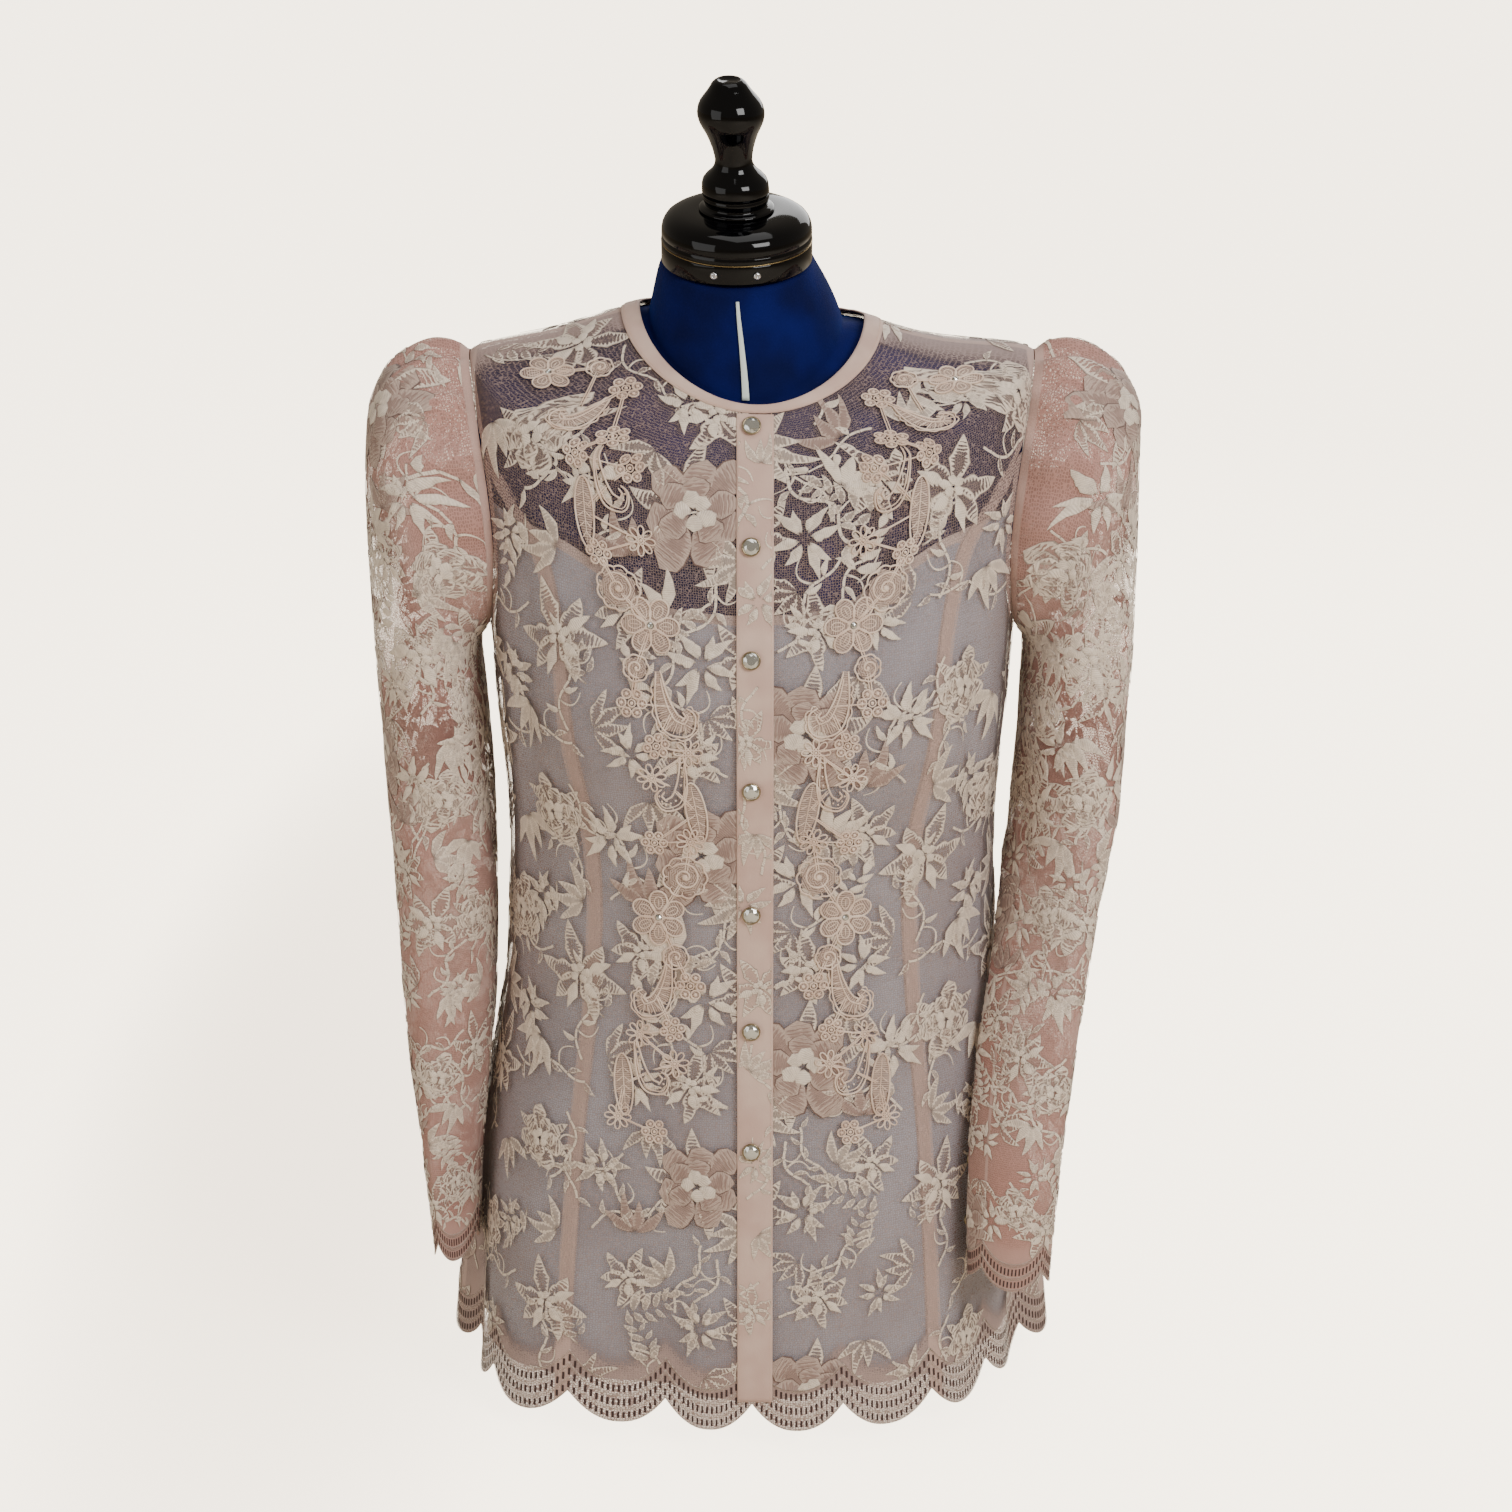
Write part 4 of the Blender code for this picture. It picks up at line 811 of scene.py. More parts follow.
def liningGrid(start, end, columns, top):
    # Rows from a top edge, which may be curved, down to an even hem
    share = np.linspace(0, 1, columns + 1)[None, :]
    down = np.linspace(0, 1, lining["rows"] + 1)[:, None]
    guess = top + (lining["hem"] - top) * down
    first, last = start(guess), end(guess)
    around = first + (last - first) * share
    return around, guess + 0 * around


def makeLining():
    fold = np.linspace(0, lining["scoopAround"], lining["scoopStops"])
    for word, side in (("right", -1), ("left", 1)):
        seams = sheetSeams(("princess",), side) + [clothPoint(side * fold, scoopLevel(fold), lining["out"])]
        grid = liningFrontGrid(side)
        sewShell(f"front lining {word}", f"lining_front_{word}", grid, lining["out"], "lining", seams)
        ends = mirrored(princessAround, armholeAround, side)
        grid = liningGrid(*ends, lining["columns"], lining["sideTop"])
        sewShell(f"side lining {word}", f"lining_side_{word}", grid, lining["out"], "lining", seams)
    grid = liningGrid(backStart, backEnd, lining["backColumns"], lining["backTop"])
    sewShell("back lining", "lining_back", grid, lining["backOut"], "lining", [])


# Sleeves
sleeveNet = {
    "turns": 180, "metresInDegree": 0.0012, "patternFrom": 0.01, "headDown": 0.06, "headRows": 21,
    "lastEven": 0.54, "rows": 74, "cuffRows": 14, "seamHalf": 2.2, "cuffDense": 0.012,
}
# The upper sleeve is more see-through, in patches: from and over which it fades in and out
sheerPart = {"most": 0.62, "from": 0.06, "in": 0.10, "full": 0.17, "out": 0.17, "patch": 0.25}


def makeSleeveNet():
    head, low = sleeveNet["headDown"], sleeveNet["lastEven"]
    for word, one in sleeves.items():
        turn = np.arange(0, 360, 360 / sleeveNet["turns"])[None, :]
        turn = np.concatenate([turn, [[360.0]]], 1)
        start = np.linspace(0, head, sleeveNet["headRows"] + 1)[:-1]
        down = np.concatenate([start, np.linspace(head, low, sleeveNet["rows"])])[:, None] + 0 * turn
        share = np.linspace(0, 1, sleeveNet["cuffRows"] + 1)[1:, None]
        down = np.vstack([down, low + (cuffLevel(turn) - low) * share])
        turn = turn + 0 * down
        points = sleeveCloth(one, turn, down)
        toSeam = np.where(np.abs(turn - 180) < sleeveNet["seamHalf"], 0.0, 1.0)
        toSeam = np.minimum(toSeam, down)
        flat = np.stack([turn * sleeveNet["metresInDegree"] + sleeveNet["patternFrom"], down], -1)
        faces = gridFaces(*turn.shape, turned=one["side"] > 0)
        patch = 1 - sheerPart["patch"] + sheerPart["patch"] * np.sin(np.radians(turn * 3) + 40 * down)
        fadeIn = smoothStep((down - sheerPart["from"]) / sheerPart["in"])
        fadeOut = 1 - smoothStep((down - sheerPart["full"]) / sheerPart["out"])
        layers = {
            "uv": flat, "toSeam": toSeam, "toHem": cuffLevel(turn) - down + sleeveNet["cuffDense"],
            "sheer": sheerPart["most"] * patch * fadeIn * fadeOut,
        }
        piece = meshFrom(f"sleeve net {word}", points, faces, "sleeveNet", layers)
        shellPieces[f"sleeve_{word}"] = settle(piece, [f"sleeve_{word}"])


makeBodyNet()
makeLining()
makeSleeveNet()
say("net and lining")


# Scalloped border of the hem and cuffs: satin bands along the scallops with rows of eyelets between, drawn as
# dark slots of painted shade where the holes are.
# Bands are (top, bottom, height) and eyelets (low, high), in metres above the edge.
border = {
    "bands": (
        (0.0000, 0.0020, 0.0007), (0.0082, 0.0112, 0.0006), (0.0182, 0.0212, 0.0006),
        (0.0282, 0.0304, 0.0005),
    ),
    "eyelets": ((0.0028, 0.0074), (0.0120, 0.0172), (0.0222, 0.0272)), "step": 1.0, "eyeletStep": 1.1,
    "top": 0.0300, "cuffTop": 0.0190, "cuffBands": 3, "cuffStep": 2.5, "cuffEyeletStep": 5.0,
    "lift": 0.0001, "eyeletLift": 0.00035, "eyeletHalf": 0.21, "tone": 0.62,
}
# Button band: metres across from the centre front, and levels
band = {
    "left": -0.0100, "right": 0.0140, "gap": 0.0006, "wall": 0.0012, "top": 0.0085, "lowest": 0.708,
    "rows": 220, "inset": 0.0016, "seamGap": 0.0003, "crown": 1.04,
}


# Embroidery. Every petal, leaf and tendril is a blade: a strip of stitches along a bent middle
# line, in metres around its flower's centre with y pointing down the cloth.
acrossStops = np.array((-1.0, -0.82, 0.0, 0.82, 1.0))
thinStops = np.array((-1.0, 0.0, 1.0))
satin = {"thick": 0.00030, "rim": 0.25, "middle": 0.6, "teeth": 0.28, "ragged": 0.10, "least": 0.02}
bladeForms = {
    "petal": lambda t: np.sin(np.pi * np.clip(t, 0, 1) ** 1.35) ** 0.6,
    "leaf": lambda t: np.sin(np.pi * t ** 0.8) ** 0.9,
    "tendril": lambda t: 1.0 - 0.55 * t, "stem": lambda t: 1.0 + 0 * t,
}


def blade(start, end, wide, bend, form, tone, lift=0.0004, teeth=0, rows=6, stops=acrossStops):
    t = np.linspace(0, 1, rows + 1)[:, None]
    start, end = np.array(start, float), np.array(end, float)
    axis = end - start
    length = np.hypot(*axis)
    side = np.array((-axis[1], axis[0])) / length
    middle = start + axis * t + side * bend * length * 4 * t * (1 - t)
    ahead = axis + side * bend * length * 4 * (1 - 2 * t)
    across = np.stack([-ahead[:, 1], ahead[:, 0]], -1)
    across = across / np.linalg.norm(across, axis=1, keepdims=True)
    width = wide * bladeForms[form](t)
    if teeth:
        width = width * (1 - satin["teeth"] * ((t * teeth) % 1.0))
    width = np.maximum(width, wide * satin["least"])
    s = stops[None, :]
    ragged = 1 + satin["ragged"] * np.sin(11 * t + 40 * start[0] / length + 3 * s) * (np.abs(s) > 0.5)
    points = middle[:, None, :] + across[:, None, :] * (width * s * ragged)[:, :, None]
    edge = np.abs(s) + 0 * t
    raised = np.where(edge > 0.9, satin["rim"], np.where(edge > 0.7, 1.0, satin["middle"]))
    height = lift + satin["thick"] * raised
    return {
        "points": points.reshape(-1, 2), "height": height.ravel(), "across": (s + 0 * t).ravel(),
        "along": (t * length + 0 * s).ravel(), "share": (t + 0 * s).ravel(),
        "tone": np.full(points.shape[0] * points.shape[1], tone),
        "faces": gridFaces(rows + 1, len(stops)),
    }


def polar(radius, degrees):
    return radius * math.cos(math.radians(degrees)), radius * math.sin(math.radians(degrees))


def petals(
    count, inner, outer, wide, size, tone, lift, form="petal", teeth=0, spread=360.0, first=0.0, rows=6,
):
    # A ring or a fan of blades, none quite like the next; sizes are shares of the flower's
    made = []
    for i in range(count):
        at = first + spread / count * i + 7 * math.sin(3.1 * i + count)
        reach = outer * (1 + 0.15 * math.sin(2.3 * i + 0.7 * count))
        bend = 0.10 * math.sin(1.7 * i + count)
        start, end = polar(inner * size, at - 6), polar(reach * size, at)
        made.append(blade(start, end, wide * size, bend, form, tone, lift, teeth, rows))
    return made


def rose(size, tone):
    return (
        petals(6, 0.30, 1.18, 0.20, size, 0.5, 0.0003, "leaf", 6, first=30, rows=7)
        + petals(7, 0.24, 1.0, 0.33, size, tone, 0.0005)
        + petals(5, 0.12, 0.70, 0.26, size, tone, 0.0007, first=40)
        + petals(5, 0.04, 0.38, 0.16, size, 1.0, 0.0009, rows=4)
    )


def lily(size, tone):
    return (
        petals(6, 0.06, 1.0, 0.25, size, 0.5, 0.0004, "leaf", 7, rows=9)
        + petals(3, 0.20, 0.74, 0.13, size, 1.0, 0.0006, "leaf", 4, first=20, spread=200)
        + petals(5, 0.02, 0.26, 0.10, size, 1.0, 0.0008, rows=3)
    )


def sprig(size, tone):
    # A small open flower of narrow pointed petals
    return (
        petals(8, 0.16, 1.0, 0.15, size, tone, 0.0005, "leaf", 4, rows=6)
        + petals(6, 0.22, 0.55, 0.12, size, 1.0, 0.0007, first=20, rows=3)
    )


def cluster(size, tone):
    return petals(4, 0.04, 1.0, 0.17, size, tone, 0.00045, "leaf", 5, spread=125.0, first=-150.0, rows=7)


def branch(size, tone):
    # A stem that carries pairs of leaves
    blades = [blade((0, 0), (0, -size), 0.0007, 0.16, "tendril", 1.0, rows=10, stops=thinStops)]
    for i in range(4):
        up = 0.20 + 0.22 * i
        out = -0.16 * 4 * up * (1 - up) * size
        for way in (-1, 1):
            long = size * (0.40 - 0.04 * i) * (1 + 0.15 * way)
            end = (out + way * long * 0.80, -up * size - long * 0.62)
            blades.append(blade((out, -up * size), end, long * 0.22, 0.10 * way, "leaf", tone, 0.00045, 4, 6))
    tip = ((0, -size * 0.98), (0.0, -size * 1.36))
    blades.append(blade(*tip, 0.08 * size, 0.08, "leaf", tone, 0.00045, 4, 6))
    return blades


def vine(size, tone):
    # A winding stem with single leaves and curls on alternate sides
    blades, at, heading = [], np.zeros(2), -90.0
    for i in range(10):
        heading += 30 * math.sin(0.9 * i + 40 * size)
        ahead = at + polar(size / 8, heading)
        blades.append(blade(at, ahead, 0.0009, 0.05, "stem", 1.0, rows=3, stops=thinStops))
        way = 1 if i % 4 < 2 else -1
        if i % 2:
            leaf = ahead + polar(size * 0.20, heading + way * 48)
            blades.append(blade(ahead, leaf, size * 0.040, 0.12 * way, "leaf", tone, 0.0005, 3, 5))
        elif i % 4 == 2:
            curl = ahead + polar(size * 0.30, heading + way * 70)
            blades.append(blade(ahead, curl, 0.0008, 0.35 * way, "tendril", 1.0, rows=8, stops=thinStops))
        at = ahead
    return blades


flowerKinds = {"rose": rose, "lily": lily, "sprig": sprig, "cluster": cluster, "branch": branch, "vine": vine}
# One repeat of the lace: kind, place across and down as shares of the repeat, size, turn, tone
repeatRows = (
    ("rose", 0.22, 0.20, 0.037, 10, 0.10), ("lily", 0.76, 0.60, 0.034, 50, 0.50),
    ("rose", 0.86, 0.12, 0.024, 70, 0.55), ("sprig", 0.60, 0.17, 0.023, 0, 1.00),
    ("sprig", 0.20, 0.64, 0.024, 30, 0.95), ("sprig", 0.98, 0.40, 0.019, 60, 0.85),
    ("sprig", 0.48, 0.90, 0.019, 80, 1.00), ("lily", 0.26, 0.90, 0.026, 20, 0.50),
    ("cluster", 0.46, 0.36, 0.032, 20, 0.10), ("cluster", 0.04, 0.34, 0.030, 120, 0.70),
    ("cluster", 0.62, 0.84, 0.030, -60, 0.50), ("cluster", 0.94, 0.82, 0.030, 170, 0.90),
    ("cluster", 0.42, 0.04, 0.028, 200, 0.60), ("cluster", 0.34, 0.50, 0.028, 60, 1.00),
    ("branch", 0.50, 0.60, 0.044, -70, 0.70), ("branch", 0.88, 0.34, 0.040, 150, 0.90),
    ("branch", 0.06, 0.82, 0.040, -20, 0.50), ("branch", 0.40, 0.78, 0.038, 20, 1.00),
    ("branch", 0.02, 0.08, 0.036, 60, 0.80), ("vine", 0.40, 0.30, 0.064, 60, 0.90),
    ("vine", 0.14, 0.42, 0.062, 160, 0.80), ("vine", 0.62, 0.36, 0.066, -60, 1.00),
    ("vine", 0.90, 0.54, 0.060, 100, 0.60), ("vine", 0.46, 0.72, 0.062, 230, 0.90),
    ("vine", 0.10, 0.96, 0.060, 40, 1.00), ("lily", 0.48, 0.50, 0.026, 10, 0.50),
    ("lily", 0.03, 0.62, 0.025, 70, 0.50), ("cluster", 0.74, 0.38, 0.028, 90, 0.80),
    ("cluster", 0.18, 0.79, 0.026, 250, 0.50), ("branch", 0.64, 0.72, 0.034, 30, 0.60),
    ("vine", 0.52, 0.12, 0.058, 110, 0.90), ("vine", 0.76, 0.02, 0.062, 190, 0.70),
    ("vine", 0.72, 0.86, 0.060, 10, 0.90), ("vine", 0.30, 0.60, 0.056, -30, 0.70),
)


class Needle:
    # Collects blades and lays them on a surface in one go
    def __init__(self):
        self.kept = []

    def stitch(self, blades, place, turn=0.0, mirror=1):
        angle = math.radians(turn)
        spin = np.array(((math.cos(angle), math.sin(angle)), (-math.sin(angle), math.cos(angle))))
        for one in blades:
            points = one["points"] @ spin * (mirror, 1)
            self.kept.append((one, points, place, mirror))

    def lay(self, toSurface, keep):
        # toSurface turns places and flat offsets into places on the cloth, keep drops or clamps them
        layers = {key: [] for key in ("height", "across", "along", "share", "tone")}
        faces, count = [], 0
        places = np.array([place for _, _, place, _ in self.kept])
        sizes = [len(flat) for _, flat, _, _ in self.kept]
        flat = np.vstack([flat for _, flat, _, _ in self.kept])
        repeated = np.repeat(places, sizes, axis=0)
        first, second = keep(repeated, *toSurface(repeated, flat))
        starts = np.cumsum([0, *sizes])
        chosenA, chosenB, least = [], [], 0.0006  # a blade that is squeezed flatter than this is left out
        for k, (one, _, _, mirror) in enumerate(self.kept):
            a, b = first[starts[k]:starts[k + 1]], second[starts[k]:starts[k + 1]]
            if np.isnan(a).any() or np.ptp(b) + np.ptp(a) * 0.002 < least:
                continue
            chosenA.append(a)
            chosenB.append(b)
            for key in layers:
                layers[key].append(one[key])
            faces.append(one["faces"][:, ::mirror] + count)
            count += len(a)
        a, b = np.concatenate(chosenA), np.concatenate(chosenB)
        merged = {key: np.concatenate(values) for key, values in layers.items()}
        height = merged.pop("height")
        merged["uv"] = np.stack([a * 0.001 + 0.5, b], -1)
        return a, b, height, np.vstack(faces), merged


leastWide, leastTall = 0.0004, 0.3  # metres of cloth in a degree and in a level, where it is crowded


def squareOn(surface, places, flat, turnStep, downStep):
    # Metres across and down the cloth stay square to each other where the rows are slanted
    a, b = places.T
    across = (surface(a + turnStep, b) - surface(a - turnStep, b)) / (2 * turnStep)
    along = (surface(a, b + downStep) - surface(a, b - downStep)) / (2 * downStep)
    tall = np.linalg.norm(along, axis=1)
    fall = along / tall[:, None]
    slide = (across * fall).sum(1)
    wide = np.linalg.norm(across - fall * slide[:, None], axis=1)
    turned = flat[:, 0] / np.maximum(wide, leastWide)
    return a + turned, b + (flat[:, 1] - turned * slide) / np.maximum(tall, leastTall)


def bodySpot(places, flat):
    return squareOn(bodyPoint, places, flat, 0.8, 0.003)


def keptOnBody(places, around, level):
    # Stitches stop at the centre front, the armholes and the border of the hem
    side = np.sign(places[:, 0])
    size, where = np.abs(around), np.abs(places[:, 0])
    size = np.where(around * side < 0, 0.0, np.minimum(size, 180.0))
    level = np.clip(level, 0.003, scallopLevel(size) - border["top"])
    edge = armholeAround(level)
    inside = (where > armholeAround(places[:, 1])) & (where < 180 - armholeAround(places[:, 1]))
    isOval = (level > body["shoulder"]) & (level < body["underarm"])
    size = np.where(isOval & (where < 90), np.minimum(size, edge - 0.3), size)
    size = np.where(isOval & (where >= 90), np.maximum(size, 180.3 - edge), size)
    return np.where(inside, np.nan, size * side), level


# The lace of the body and of a sleeve: repeat in degrees and metres, first and last rows of it, where an
# even column starts, and between which levels flowers are sewn
bodyLace = {"across": 60.0, "down": 0.235, "rows": 4, "start": 0.15, "from": 0.004, "to": 0.712}
sleeveLace = {"across": 120.0, "down": 0.215, "rows": 3, "start": 0.1, "from": 0.010, "to": 0.606}
lowerLace = {"level": 0.50, "size": 0.86, "tone": 0.72}  # smaller and darker flowers below this level
stepOff = {-1: 0.0, 1: -0.36}  # the left half of the lace is cut further along its repeat


def laceFlowers(lace, step=0.0):
    # Kind, place around, level, size, turn, tone and mirror of each flower; every other column is mirrored
    for column in range(3):
        flip = -1 if column % 2 else 1
        start = 0.5 if column % 2 else lace["start"]
        for rowIndex in range(-1, lace["rows"]):
            for kind, x, y, size, turn, tone in repeatRows:
                around = (column + (x if flip > 0 else 1 - x)) * lace["across"]
                level = (rowIndex + y + start + step) * lace["down"]
                if lace["from"] < level < lace["to"]:
                    yield kind, around, level, size, turn, tone, flip


def sewBody(name, side, first, last):
    needle = Needle()
    for kind, around, level, size, turn, tone, flip in laceFlowers(bodyLace, stepOff[side]):
        if not max(first, 1.5) < around < min(last, 179.5):
            continue
        if level > lowerLace["level"]:
            size, tone = size * lowerLace["size"], min(tone, lowerLace["tone"])
        needle.stitch(flowerKinds[kind](size, tone), (side * around, level), turn, side * flip)
    around, level, height, faces, layers = needle.lay(bodySpot, keptOnBody)
    piece = meshFrom(name, clothPoint(around, level, height), faces, "embroidery", layers)
    print(name, "triangles", 2 * len(faces))
    settle(piece)


bandFlowers = (  # on the button band: kind, metres across, level, size, turn
    ("cluster", 0.006, 0.046, 0.020, 30), ("vine", -0.008, 0.030, 0.050, 170),
    ("sprig", 0.004, 0.142, 0.019, 20), ("vine", 0.006, 0.120, 0.046, 10),
    ("lily", -0.004, 0.236, 0.021, 60), ("vine", 0.004, 0.200, 0.050, 190),
    ("cluster", 0.002, 0.300, 0.022, 200), ("sprig", -0.005, 0.352, 0.018, 40),
    ("vine", 0.006, 0.330, 0.050, -20), ("lily", 0.005, 0.410, 0.022, 0),
    ("cluster", -0.002, 0.470, 0.022, 60), ("vine", 0.000, 0.450, 0.052, 160),
    ("sprig", 0.003, 0.535, 0.016, 10), ("cluster", 0.004, 0.585, 0.020, 150),
    ("vine", -0.004, 0.560, 0.048, 20), ("lily", 0.000, 0.640, 0.018, 30),
    ("vine", 0.005, 0.620, 0.044, 200),
)


def sewBand():
    needle, edge = Needle(), 0.001
    for kind, across, level, size, turn in bandFlowers:
        needle.stitch(flowerKinds[kind](size, 0.8), (across / metresPerDegree(0.0, level), level), turn)

    def onBand(places, around, level):
        wide = metresPerDegree(0.0, level)
        around = np.clip(around, (band["left"] + edge) / wide, (band["right"] - edge) / wide)
        return around, np.clip(level, 0.012, 0.70)

    around, level, height, faces, layers = needle.lay(bodySpot, onBand)
    out = band["gap"] + band["wall"] + height * 0.7
    settle(meshFrom("band embroidery", clothPoint(around, level, out), faces, "embroidery", layers))


def sewSleeve(word):
    one = sleeves[word]
    needle = Needle()
    for kind, turnAt, level, size, turn, tone, flip in laceFlowers(sleeveLace):
        girth = np.interp(level, (0.05, 0.25, 0.55), (1.0, 0.86, 0.62))
        needle.stitch(flowerKinds[kind](size * girth, tone), (turnAt, level), turn, -one["side"] * flip)

    def toSurface(places, flat):
        return squareOn(lambda turn, down: sleevePoint(one, turn, down), places, flat, 6.0, 0.004)

    def keep(places, turn, level):
        return turn, np.clip(level, 0.006, cuffLevel(turn) - border["cuffTop"])

    turn, level, height, faces, layers = needle.lay(toSurface, keep)
    layers["uv"] = np.stack([turn * sleeveNet["metresInDegree"], level], -1)
    points = sleeveCloth(one, turn, level, height)
    settle(meshFrom(f"sleeve embroidery {word}", points, faces, "embroidery", layers))
    print("sleeve embroidery triangles", 2 * len(faces))


for part, span in (("front", (0, 90)), ("back", (90, 180))):
    for word, side in (("right", -1), ("left", 1)):
        sewBody(f"embroidery {part} {word}", side, *span)
sewBand()
for word in sleeves:
    sewSleeve(word)
say("embroidery")


# Rings of points joined into tubes, caps and turned pieces
def loft(name, rings, look, closed=False, smooth=True):
    # Rings run along the piece, each an equal closed ring of points; an open end is drawn to its middle
    rings = np.asarray(rings, float)
    if not closed:
        ends = [np.repeat(rings[i].mean(0)[None], rings.shape[1], 0) for i in (0, -1)]
        rings = np.concatenate([ends[0][None], rings, ends[1][None]])
    else:
        rings = np.concatenate([rings, rings[:1]])
    faces = gridFaces(rings.shape[0], rings.shape[1], joined=True, turned=True)
    made = meshFrom(name, rings, faces, look, smooth=smooth)
    weld(made.data)
    return made


def weld(mesh, distance=0.000005):
    shape = bmesh.new()
    shape.from_mesh(mesh)
    bmesh.ops.remove_doubles(shape, verts=shape.verts, dist=distance)
    bmesh.ops.dissolve_degenerate(shape, edges=shape.edges, dist=distance)
    shape.to_mesh(mesh)
    shape.free()


def joined(name, pieces):
    # One piece from several, each with its own material
    first = pieces[0]
    with bpy.context.temp_override(active_object=first, selected_editable_objects=pieces):
        bpy.ops.object.join()
    first.name = name
    return first


# Geometry Nodes
def nodeTree(name, sockets):
    tree = bpy.data.node_groups.new(name, "GeometryNodeTree")
    tree.interface.new_socket("Geometry", in_out="INPUT", socket_type="NodeSocketGeometry")
    for label, kind, value in sockets:
        socket = tree.interface.new_socket(label, in_out="INPUT", socket_type=f"NodeSocket{kind}")
        if value is not None:
            socket.default_value = value
    tree.interface.new_socket("Geometry", in_out="OUTPUT", socket_type="NodeSocketGeometry")
    source = tree.nodes.new("NodeGroupInput")
    return tree, Wire(tree, source.outputs[0], source)


def endTree(tree, source, geometry):
    real = addNode(tree, "GeometryNodeRealizeInstances", {}, {"Geometry": geometry})
    look = {"Geometry": real, "Material": source.out("Material")}
    made = addNode(tree, "GeometryNodeSetMaterial", {}, look)
    tree.links.new(made.socket, tree.nodes.new("NodeGroupOutput").inputs[0])


def stitchTree():
    # Thread stitches along every line of the mesh, all at one spacing
    tree, source = nodeTree("stitches", (
        ("Spacing", "Float", 0.003), ("Length", "Float", 0.002), ("Thickness", "Float", 0.0004),
        ("Material", "Material", None),
    ))
    thick, spacing = source.out("Thickness"), source.out("Spacing")
    line = addNode(tree, "GeometryNodeMeshToCurve", {}, {"Mesh": source})
    dots = addNode(tree, "GeometryNodeCurveToPoints", {"mode": "LENGTH"}, {"Curve": line, "Length": spacing})
    aim = addNode(tree, "FunctionNodeAlignRotationToVector", {"axis": "Z"}, {"Vector": dots.out("Tangent")})
    ball = addNode(tree, "GeometryNodeMeshUVSphere", {}, {"Segments": 5, "Rings": 4, "Radius": 0.5})
    size = addNode(tree, "ShaderNodeCombineXYZ", {}, {"X": thick, "Y": thick, "Z": source.out("Length")})
    endTree(tree, source, addNode(tree, "GeometryNodeInstanceOnPoints", {}, {
        "Points": dots, "Instance": ball, "Rotation": aim, "Scale": size,
    }))
    return tree


def beadTree():
    # A bead on every point, facing along "facing" and sized by "size"
    tree, source = nodeTree("beads", (
        ("Sides", "Int", 8), ("Height", "Float", 0.6), ("Material", "Material", None),
    ))
    facing, size = (
        addNode(tree, "GeometryNodeInputNamedAttribute", {"data_type": kind}, {"Name": name})
        for name, kind in (("facing", "FLOAT_VECTOR"), ("size", "FLOAT"))
    )
    aim = addNode(tree, "FunctionNodeAlignRotationToVector", {"axis": "Z"}, {"Vector": facing})
    ball = addNode(tree, "GeometryNodeMeshUVSphere", {}, {
        "Segments": source.out("Sides"), "Rings": 5, "Radius": 1.0,
    })
    wide = addNode(tree, "ShaderNodeCombineXYZ", {}, {"X": size, "Y": size, "Z": size * source.out("Height")})
    endTree(tree, source, addNode(tree, "GeometryNodeInstanceOnPoints", {}, {
        "Points": source, "Instance": ball, "Rotation": aim, "Scale": wide,
    }))
    return tree


def grown(name, base, tree, values):
    # Runs a tree on a mesh and keeps the plain result
    modifier = base.modifiers.new("nodes", "NODES")
    modifier.node_group = tree
    for item in tree.interface.items_tree:
        if item.item_type == "SOCKET" and item.in_out == "INPUT" and item.name in values:
            modifier[item.identifier] = values[item.name]
    graph = bpy.context.evaluated_depsgraph_get()
    mesh = bpy.data.meshes.new_from_object(base.evaluated_get(graph), depsgraph=graph)
    base.modifiers.clear()
    bpy.data.objects.remove(base)
    return addObject(name, mesh)


def pointsMesh(name, points, facing, size):
    mesh = bpy.data.meshes.new(name)
    mesh.from_pydata([tuple(p) for p in points], [], [])
    for layer, kind, field, values in (
        ("facing", "FLOAT_VECTOR", "vector", facing), ("size", "FLOAT", "value", size),
    ):
        kept = mesh.attributes.new(layer, kind, "POINT")
        kept.data.foreach_set(field, np.asarray(values, float).ravel())
    return addObject(name, mesh)


def linesMesh(name, lines):
    points, edges = [], []
    for line in lines:
        edges += [(len(points) + i, len(points) + i + 1) for i in range(len(line) - 1)]
        points += [tuple(p) for p in line]
    mesh = bpy.data.meshes.new(name)
    mesh.from_pydata(points, edges, [])
    return addObject(name, mesh)


stitches = stitchTree()
beads = beadTree()


# Band, binding and buttons
bandProfile = (  # share across, share of the wall
    (0.0, 0.0), (0.0, 0.7), (0.035, 1.0), (0.30, 1.0), (0.5, band["crown"]), (0.70, 1.0), (0.965, 1.0),
    (1.0, 0.7), (1.0, 0.0),
)


def sewLines(name, lines, spacing, length, thickness):
    settle(grown(name, linesMesh("lines", lines), stitches, {
        "Spacing": spacing, "Length": length, "Thickness": thickness, "Material": looks["thread"],
    }))


def makeBand():
    level = np.linspace(band["top"], band["lowest"], band["rows"])[:, None]
    share, wall = np.array(bandProfile).T
    metres = band["left"] + (band["right"] - band["left"]) * share[None, :]
    around = metres / metresPerDegree(0.0, level)
    out = band["gap"] + band["wall"] * wall[None, :] + 0 * level
    piece = loft("button_band_cloth", clothPoint(around, level + 0 * around, out), "band")
    settle(piece, ["button_band"])
    flat = level[:, 0]
    sewLines("band_stitches", [
        clothPoint(edge / metresPerDegree(0.0, flat), flat, band["gap"] + band["wall"] * 1.03)
        for edge in (band["left"] + band["inset"], band["right"] - band["inset"])
    ], 0.0034, 0.0026, 0.00045)


bindingProfile = (  # level and height over the net, in metres
    (0.0070, 0.0006), (0.0070, 0.0014), (0.0062, 0.0018), (0.0036, 0.0020), (0.0010, 0.0019),
    (0.0, 0.0014), (0.0, 0.0006),
)
bindingStitches = {"level": 0.0058, "out": 0.0020}


